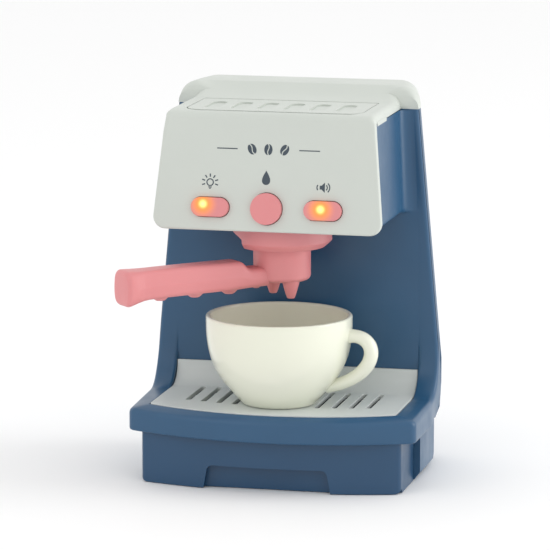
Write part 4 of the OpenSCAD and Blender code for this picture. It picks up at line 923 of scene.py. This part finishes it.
def finger_knob(out, size=1.0):
    """A knob across the handle's underside, narrower at its lower end."""
    turn = np.linspace(0, 2 * np.pi, 28, endpoint=False)
    below = np.array([0, 2.6, 3.8, 4.4, 4.6])[:, None] * size
    radius = np.array([7.4, 4.7, 3.5, 2.6, 0.2])[:, None] * size
    return tube(along_handle(out + radius * np.cos(turn), 0.95 * radius * np.sin(turn), KNOB_TOP - below))


knobs = [finger_knob(KNOB_OUT - KNOB_PITCH * k) for k in range(3)]
knobs.append(finger_knob(KNOB_OUT - KNOB_PITCH * 3 + 4.5, size=0.6))
add_piece("handle_form", solid("handle_form", handle_skin(), *knobs), pink, "portafilter",
          ["portafilter_handle"])

# %% The bowl and its spouts
BOWL_R, BOWL_Z, BOWL_TOP, BOWL_EDGE, BOWL_WALL = 16.7, 117.5, 141.2, 3, 2
SPOUT_X = 10.3
SPOUT_PROFILE = np.array([[5.4, 119], [4.95, 117], [4.0, 113.5], [3.0, 110.2], [2.35, 108.4],
                          [2.1, 107.95], [1.75, 107.8], [1.2, 107.8], [1.2, 119]])


def bowl_profile():
    """Rounded lower edge, outer wall, inner wall and floor, as one closed chain."""
    quarter = np.linspace(0, np.pi / 2, 7)
    edge = points(BOWL_R - BOWL_EDGE + BOWL_EDGE * np.sin(quarter),
                  BOWL_Z + BOWL_EDGE * (1 - np.cos(quarter)))
    inner, floor_z = BOWL_R - BOWL_WALL, BOWL_Z + BOWL_EDGE
    wall = points([BOWL_R, inner, inner, 0.001, 0.001], [BOWL_TOP, BOWL_TOP, floor_z, floor_z, BOWL_Z])
    return np.concatenate([edge, wall])


spouts = [lathe(SPOUT_PROFILE, along_handle(0, sideways, 0)[:2], 40) for sideways in (-SPOUT_X, SPOUT_X)]
bowl = solid("bowl_form", lathe(bowl_profile(), (0, BREW_Y)), *spouts)
add_piece("bowl_form", bowl, pink, "portafilter", ["portafilter_bowl"])

# %% [markdown]
# ## The fascia
# The real front plate isn't a flat slab: it leans back, then bends over in a small radius
# and runs into the top without a seam. So it is one skin along a path, as wide as the
# outline at each height, and its holes are cut afterwards so that they stay crisp.
#
# %% Path up the face and over the bend
FASCIA_TOP_Z, BEND_R, FRONT_R = PLATE_Z - FRONT_DROOP, 4.0, 1.3
FASCIA_HALF, FASCIA_TOP_HALF, FASCIA_CORNER = 67.5, 61.4, 8.0
BEND_ROWS = 13


def face_point(x, up, out=0.0):
    """Points on the leaning face: across, up the face, and out of it, in mm."""
    y = FASCIA_Y + up * math.sin(LEAN) - out * math.cos(LEAN)
    z = FASCIA_Z + up * math.cos(LEAN) + out * math.sin(LEAN)
    return points(x, y, z)


def fascia_path():
    """Rows up the face, close together at its foot, and round the bend: the distance
    travelled, y and z, and the outward normal, which turns from the face's to upright."""
    face_length = (FASCIA_TOP_Z - FASCIA_Z) / math.cos(LEAN)
    straight = face_length - BEND_R * math.tan((math.pi / 2 - LEAN) / 2)
    foot = FASCIA_CORNER * (1 - np.cos(np.linspace(0, np.pi / 2, 15)))
    up = np.concatenate([foot, np.linspace(FASCIA_CORNER, straight, 8)[1:]])
    face = face_point(0, up)[:, 1:]
    face_normal = np.array([-math.cos(LEAN), math.sin(LEAN)])
    angle = np.linspace(math.pi - LEAN, math.pi / 2, BEND_ROWS)[1:]
    normal = np.stack([np.cos(angle), np.sin(angle)], axis=1)
    bend = face[-1] - BEND_R * face_normal + BEND_R * normal
    normals = np.concatenate([np.tile(face_normal, (len(up), 1)), normal])
    travel = np.concatenate([up, up[-1] + BEND_R * (math.pi - LEAN - angle)])
    return travel, np.concatenate([face, bend]), normals


travel, path, normals = fascia_path()
print("the fascia's path is", round(float(travel[-1]), 1), "mm long")

# %% The fascia's skin


def fascia_skin():
    """A front that drops along rounded edges, r (1 - sqrt(1 - u^2 - v^2)), and a back behind
    it. The side edges' radius grows to the plate's near the bend."""
    straight_end = travel[-BEND_ROWS]
    foot_gap = np.clip(FASCIA_CORNER - travel, 0, FASCIA_CORNER)
    half = lerp(FASCIA_HALF, FASCIA_TOP_HALF, np.clip(travel / straight_end, 0, 1))
    half = (half - FASCIA_CORNER + np.sqrt(FASCIA_CORNER ** 2 - foot_gap ** 2))[:, None]
    side_r = lerp(FRONT_R, PLATE_R, ease((travel - straight_end + 8) / 9))[:, None]
    x = across * half
    u = np.clip(1 - (half - np.abs(x)) / side_r, 0, 1)
    v = np.clip(1 - travel / FRONT_R, 0, 1)[:, None]
    radius = (side_r * u ** 2 + FRONT_R * v ** 2) / np.maximum(u ** 2 + v ** 2, 1e-9)
    drop = radius * (1 - np.sqrt(1 - np.minimum(1, np.hypot(u, v)) ** 2))
    deep = np.clip(drop + 0.4, FASCIA_T, BEND_R - 0.1)
    front, back = [points(x, path[:, :1] - depth * normals[:, :1], path[:, 1:] - depth * normals[:, 1:])
                   for depth in (drop, deep)]
    return tube(np.concatenate([front, back[:, ::-1]], axis=1))


fascia = solid("fascia_form", fascia_skin())

# %% Button holes
BUTTON_V, BUTTON_X, BUTTON_GAP = 13.3, 32.9, 0.4
PILL_L, PILL_W, ROUND_R = 22.0, 11.0, 9.0
PILL, ROUND = ((PILL_L - PILL_W) / 2, PILL_W / 2), (0.01, ROUND_R)


def stadium(half_length, radius):
    """A closed outline of two half circles joined by straight sides, as rows of u and v."""
    angle = np.linspace(-np.pi / 2, np.pi / 2, 24)
    u = half_length + radius * np.cos(angle)
    v = radius * np.sin(angle)
    return np.concatenate([u, -u]), np.concatenate([v, -v])


holes = []
for number, (x, (half_length, radius)) in enumerate(((-BUTTON_X, PILL), (0, ROUND), (BUTTON_X, PILL))):
    u, v = stadium(half_length, radius + BUTTON_GAP)
    ends = [face_point(x + u, BUTTON_V + v, out) for out in (-6, 6)]
    holes.append(cutter("button_hole_%d" % number, tube(np.stack(ends))))
fascia = carved(fascia, holes, bevel(0.3, 2, RIM_DEGREES), EVEN_LIGHT)
add_piece("fascia_form", fascia, white, "case", ["fascia"])

# %% [markdown]
# ## The printed signs
# Over the buttons the toy has three small dark signs: a lamp with rays, a drop and a
# speaker with sound waves. Above them, three coffee beans stand between two lines. They
# could be a picture laid on the plastic, but a film of ink has a crisp edge, so each stroke
# is a flat outline that stands a twentieth of a millimetre out of the face.
#
# %% Strokes of ink
INK_OUT, INK_IN = 0.06, -0.3


def stamp(outline, x, v):
    """A thin closed patch of ink with an outline of u and v about a point of the fascia."""
    rows = [face_point(x + outline[0], v + outline[1], out) for out in (INK_IN, INK_OUT)]
    return tube(np.stack(rows))


def bar(u0, v0, u1, v1, width):
    """A straight stroke between two points."""
    along = np.array([u1 - u0, v1 - v0])
    side = np.array([-along[1], along[0]]) / np.hypot(*along) * width / 2
    return np.array([[u0, v0] - side, [u1, v1] - side, [u1, v1] + side, [u0, v0] + side]).T


def arc(radius, width, start, end, u0=0.0):
    """A curved stroke: an outer arc and an inner arc back, in degrees."""
    angle = np.radians(np.linspace(start, end, 20))
    outer_r, inner_r = radius + width / 2, radius - width / 2
    u = np.concatenate([outer_r * np.cos(angle), inner_r * np.cos(angle[::-1])])
    return u0 + u, np.concatenate([outer_r * np.sin(angle), inner_r * np.sin(angle[::-1])])


print("a stroke 1 mm long has", len(stamp(bar(0, 0, 1, 0, 0.5), 0, 0)[1]), "faces")

# %% The four kinds of sign


def lamp_sign(x, v):
    """A round bulb with a cap below and seven rays about it."""
    strokes = [arc(1.9, 0.65, -60, 240), bar(-1.0, -1.85, 1.0, -1.85, 0.6),
               bar(-0.95, -2.75, 0.95, -2.75, 0.6), bar(-0.5, -3.5, 0.5, -3.5, 0.5)]
    for angle in np.radians(np.arange(-18, 199, 36)):
        u, w = math.cos(angle), math.sin(angle)
        strokes.append(bar(3.1 * u, 3.1 * w, 4.9 * u, 4.9 * w, 0.7))
    return [stamp(stroke, x, v) for stroke in strokes]


def drop_sign(x, v):
    """A filled drop: u = 3.3 sin a sin(a/2)^1.3, v = 4.1 cos a, with its point on top."""
    angle = np.linspace(0, 2 * np.pi, 49)[:-1]
    return [stamp((3.3 * np.sin(angle) * np.sin(angle / 2) ** 1.3, 4.1 * np.cos(angle)), x, v)]


def speaker_sign(x, v):
    """A speaker's horn with two waves in front of it and one behind."""
    horn = np.array([[-1.8, -0.7, 1.2, 1.2, -0.7, -1.8], [-1.1, -1.1, -2.9, 2.9, 1.1, 1.1]])
    waves = [arc(r, 0.65, -48, 48, 0.7) for r in (1.9, 3.3)] + [arc(2.2, 0.65, 140, 220, -1.2)]
    return [stamp(stroke, x, v) for stroke in [horn] + waves]


def bean_sign(x, v, tilt):
    """A coffee bean: two halves of an oval, parted by a soft S, u = 0.42 sin(pi t)."""
    down = np.linspace(1, -1, 17)
    split_u = 0.42 * np.sin(np.pi * down)
    angle = np.linspace(-np.pi / 2, np.pi / 2, 17)
    halves = []
    for side in (-1, 1):
        u = np.concatenate([side * 2.1 * np.cos(angle) + side * 0.3, split_u + side * 0.3])
        w = np.concatenate([3.1 * np.sin(angle), 3.0 * down])
        turned = (u * math.cos(tilt) - w * math.sin(tilt), u * math.sin(tilt) + w * math.cos(tilt))
        halves.append(stamp(turned, x, v))
    return halves


print("a bean has", len(bean_sign(0, 0, 0)), "halves")

# %% All the signs
BEAN_V, BEAN_PITCH, BEAN_TILT, LINE_X, LINE_HALF = 47.0, 9.5, 0.5, 24.0, 6

ink = plastic("slate_ink", (0.045, 0.065, 0.085), (0.055, 0.075, 0.095), 0.45, 0.6, 0.05)
signs = lamp_sign(-BUTTON_X - 0.6, 27.4) + drop_sign(-0.8, 31.0) + speaker_sign(BUTTON_X - 0.6, 26.5)
for place in (-1, 0, 1):
    signs += bean_sign(place * BEAN_PITCH, BEAN_V, -place * BEAN_TILT)
for x in (-LINE_X, LINE_X):
    signs.append(stamp(bar(-LINE_HALF, 0, LINE_HALF, 0, 0.6), x, BEAN_V))
add_piece("fascia_signs", solid("fascia_signs", *signs), ink, "case", [])

# %% [markdown]
# ## Lit buttons
# Two of the pink buttons are lit from behind by a lamp. A lamp in the scene would need clear
# plastic round it. So the warm spot is a mask that fades with the distance from the lamp,
# and it drives the colour of the glow.
#
# %% Node group lamp_glow
CORE_R, HALO_R = 0.0036, 0.0095
CORE_GLOW, HALO_GLOW, LAMP_LIGHT_TINT = (1.0, 1.1, 0.45), (0.55, 0.17, 0.002), (0.80, 0.24, 0.01)

glow, glow_in, glow_out = new_group(
    "lamp_glow",
    {"Core": (NUMBER, CORE_R), "Halo": (NUMBER, HALO_R), "Under": (COLOUR, (0.7, 0.3, 0.3, 1)),
     "Centre": (VECTOR, (0, 0, 0))},
    {"Glow": COLOUR, "Tint": COLOUR})
away = glow.nodes.new("ShaderNodeVectorMath")
away.operation = "DISTANCE"
glow.links.new(glow.nodes.new("ShaderNodeTexCoord").outputs["Object"], away.inputs[0])
glow.links.new(glow_in.outputs["Centre"], away.inputs[1])


def fade(radius, colour, ground=None):
    """Colour at the centre, fading out smoothly to the ground, or black, at the radius."""
    node = glow.nodes.new("ShaderNodeMapRange")
    node.interpolation_type = "SMOOTHSTEP"
    set_inputs(node, {"From Min": 0.0, "To Min": 1.0, "To Max": 0.0})
    glow.links.new(away.outputs["Value"], node.inputs["Value"])
    glow.links.new(radius, node.inputs["From Max"])
    mix = glow.nodes.new("ShaderNodeMix")
    mix.data_type = "RGBA"
    set_inputs(mix, {"A": (0, 0, 0, 1), "B": (*colour, 1)})
    glow.links.new(node.outputs["Result"], mix.inputs["Factor"])
    if ground:
        glow.links.new(ground, mix.inputs["A"])
    return mix.outputs["Result"]


both = glow.nodes.new("ShaderNodeMix")
both.data_type = "RGBA"
both.blend_type = "ADD"
both.inputs["Factor"].default_value = 1.0
glow.links.new(fade(glow_in.outputs["Halo"], HALO_GLOW), both.inputs["A"])
glow.links.new(fade(glow_in.outputs["Core"], CORE_GLOW), both.inputs["B"])
glow.links.new(both.outputs["Result"], glow_out.inputs["Glow"])
# Painted lamp light: round the spot, the pink base colour is tinted warm orange.
tint = fade(glow_in.outputs["Halo"], LAMP_LIGHT_TINT, glow_in.outputs["Under"])
glow.links.new(tint, glow_out.inputs["Tint"])
print("lamp_glow has", len(glow.nodes), "nodes")

# %% Lit pink
BUTTON_OUT = 3.0
LEFT_SPOT, RIGHT_SPOT = (-BUTTON_X - 3.75, 1.7), (BUTTON_X - 1.0, 0.8)


def lit_pink(name, spot):
    """The pink plastic with a warm spot of painted lamp light, both a glow and a warmer base colour, at x,
    and at a height over the buttons' middle line.
    """
    material = plastic(name, PINK, PINK_CLOUD, *PINK_GLOSS)
    nodes, links = material.node_tree.nodes, material.node_tree.links
    group = nodes.new("ShaderNodeGroup")
    group.node_tree = glow
    group.inputs["Centre"].default_value = tuple(face_point(spot[0], BUTTON_V + spot[1], BUTTON_OUT) * MM)
    shader = nodes["Principled BSDF"]
    links.new(shader.inputs["Base Color"].links[0].from_socket, group.inputs["Under"])
    links.new(group.outputs["Tint"], shader.inputs["Base Color"])
    links.new(group.outputs["Glow"], shader.inputs["Emission Color"])
    shader.inputs["Emission Strength"].default_value = 1.0
    return material


light_pink = lit_pink("lit_pink_left", LEFT_SPOT)
sound_pink = lit_pink("lit_pink_right", RIGHT_SPOT)

# %% [markdown]
# ## The other outer pieces
# The rear shell, the tub, the lid and the buttons have their real shape in CAD, so each is
# a rounded copy, as are the tray and the battery door further on. They could be built anew
# as skins, but a copy follows the CAD model by itself. The radius is large on the buttons
# and the tub, and small where two pieces meet in a fine seam.
#
# %% Shells, lid and buttons
round_node("rear_shell", 0.6, navy, "case")
round_node("base_tub", 1.0, navy, "case")
round_node("tank_lid", 0.35, white, "lid")
round_node("light_button", 0.9, light_pink, "light_key")
round_node("water_button", 0.9, pink, "water_key")
round_node("sound_button", 0.9, sound_pink, "sound_key")

# %% [markdown]
# ## The collar's cut and the drawer's corners
# The pink ring under the head is cut away on the left, where the portafilter's lugs go in,
# and its rim hangs lower round the cut. The drawer's front has well rounded lower corners.
# Both are edits of the CAD copy, because the rest of their form is right: the ring's points
# are moved down by a curve over x, and the drawer's corners are cut off by two blocks with
# a hollow quarter circle.
#
# %% Collar, and the tray below it
SAG_X = [18.5, 18.8, 19.5, 20.7, 22.3, 24, 26, 28.5, 29]
SAG = [0, 0.4, 1.8, 2.6, 3.2, 3.3, 2.8, 0.9, 0.6]
SAG_LOW, SAG_TOP = 141, 150

collar = merged_copy("brew_collar")
ring = vertex_places(collar) / MM
left_of_cut = (ring[:, 0] < -18.6) & (ring[:, 2] > SAG_LOW) & (ring[:, 2] < SAG_TOP)
ring[:, 2] -= np.interp(-ring[:, 0], SAG_X, SAG) * left_of_cut
collar.vertices.foreach_set("co", (ring * MM).ravel())
round_node("brew_collar", 0.8, pink, "case", source=collar)
round_node("tray_insert", 0.5, grey, "tray")

# %% Drawer, and the battery door
DRAWER_CORNER, PAST, CUT_DEPTH = 3.2, 2, 16


def corner_block(side, half, foot, front):
    """A block past one lower corner of the drawer's front, hollowed by a quarter circle."""
    turn = np.linspace(0, np.pi / 2, 9)
    x = np.concatenate([[half + PAST, half + PAST, half],
                        half - DRAWER_CORNER + DRAWER_CORNER * np.cos(turn)[1:], [half - DRAWER_CORNER]])
    z = np.concatenate([[foot - PAST, foot + DRAWER_CORNER, foot + DRAWER_CORNER],
                        foot + DRAWER_CORNER - DRAWER_CORNER * np.sin(turn)[1:], [foot - PAST]])
    return tube(np.stack([points(side * x, y, z) for y in (front - 5, front + CUT_DEPTH)]))


low_corner, high_corner = [np.array(corner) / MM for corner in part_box("water_drawer")]
blocks = [
    cutter("drawer_corner_%d" % (side > 0), corner_block(side, high_corner[0], low_corner[2], low_corner[1]))
    for side in (-1, 1)]
drawer = carved(merged_copy("water_drawer"), blocks)
# The drawer takes the darker navy, which is its painted shade.
round_node("water_drawer", 0.8, painted_shade_navy, "drawer", source=drawer)
round_node("battery_door", 0.4, navy, "door")

# %% [markdown]
# ## Springs and slot walls
# A button's spring is squeezed by two millimetres when the button goes in. A piece can't
# change its length between poses, so all three are drawn squeezed. Under the tray, a short
# wall round each slot stiffens it and hides the dark drawer below.
#
# %% Springs
PRESS = 2.15

out_of_face = np.array([0, -math.cos(LEAN), math.sin(LEAN)])
for node in ("light_spring", "water_spring", "sound_spring"):
    spring = merged_copy(node)
    coil = vertex_places(spring)
    height = coil @ out_of_face
    squeeze = PRESS * MM * share(height, height.min(), np.ptp(height))
    spring.vertices.foreach_set("co", (coil - squeeze[:, None] * out_of_face).ravel())
    spring.update()
    add_piece("squeezed_" + node, spring, steel, "case", [node])
    print(node, "is", round(float(np.ptp(height)) / MM - PRESS, 2), "mm long when squeezed")

# %% Slot walls
SLOTS, SLOT_PITCH, SLOT_R, SLOT_WALL, SLOT_GAP = 12, 9.75, 1.6, 0.8, 0.02
SLOT_BACK, SLOT_FRONT, SLOT_BOW = 21.5, -21.8, 186.0
SLOT_LOW, SLOT_TOP = 43.4, 44.4


def slot_wall(x):
    """A ring of wall round the slot at x, whose front end lies on the tray's bow."""
    turn = np.linspace(0, 2 * np.pi, 33)[:-1]
    slot_front = SLOT_FRONT + SLOT_BOW - math.sqrt(SLOT_BOW ** 2 - x ** 2)
    end = np.where(np.sin(turn) >= 0, SLOT_BACK, slot_front)
    section = ((SLOT_GAP, SLOT_TOP), (SLOT_WALL, SLOT_TOP), (SLOT_WALL, SLOT_LOW), (SLOT_GAP, SLOT_LOW))
    chains = [points(x + (SLOT_R + r) * np.cos(turn), end + (SLOT_R + r) * np.sin(turn), z)
              for r, z in section]
    return tube(np.stack(chains, axis=1), ring=True)


slot_walls = [slot_wall((number - (SLOTS - 1) / 2) * SLOT_PITCH) for number in range(SLOTS)]
add_piece("slot_walls", solid("slot_walls", *slot_walls), grey, "tray", [])

# %% [markdown]
# ## Materials of the other CAD nodes
# The parts inside the case keep their CAD shape. They get real materials too, because the
# lid, the drawer and the door open in the poses and the clear tank shows what is behind.
#
# %% Inner parts, screws and feet
dressed = (
    (rubber, ("rubber_feet", "tank_seal")),
    (steel, ("case_screws", "base_screws", "door_screw", "battery_contacts", "pump_motor")),
    (clear, ("water_tank",)),
    (hose, ("inlet_hose", "outlet_hose")),
    (board, ("button_board",)),
    (black, ("tact_switches", "speaker", "battery_box", "pump_housing", "shower_nozzle")),
    (grey, ("pump_impeller",)),
    (lens, ("button_leds",)),
    (wrap, ("batteries",)))
for material, nodes in dressed:
    for node in nodes:
        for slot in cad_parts[node].material_slots:
            slot.material = material
    print(material.name, "on", ", ".join(nodes))
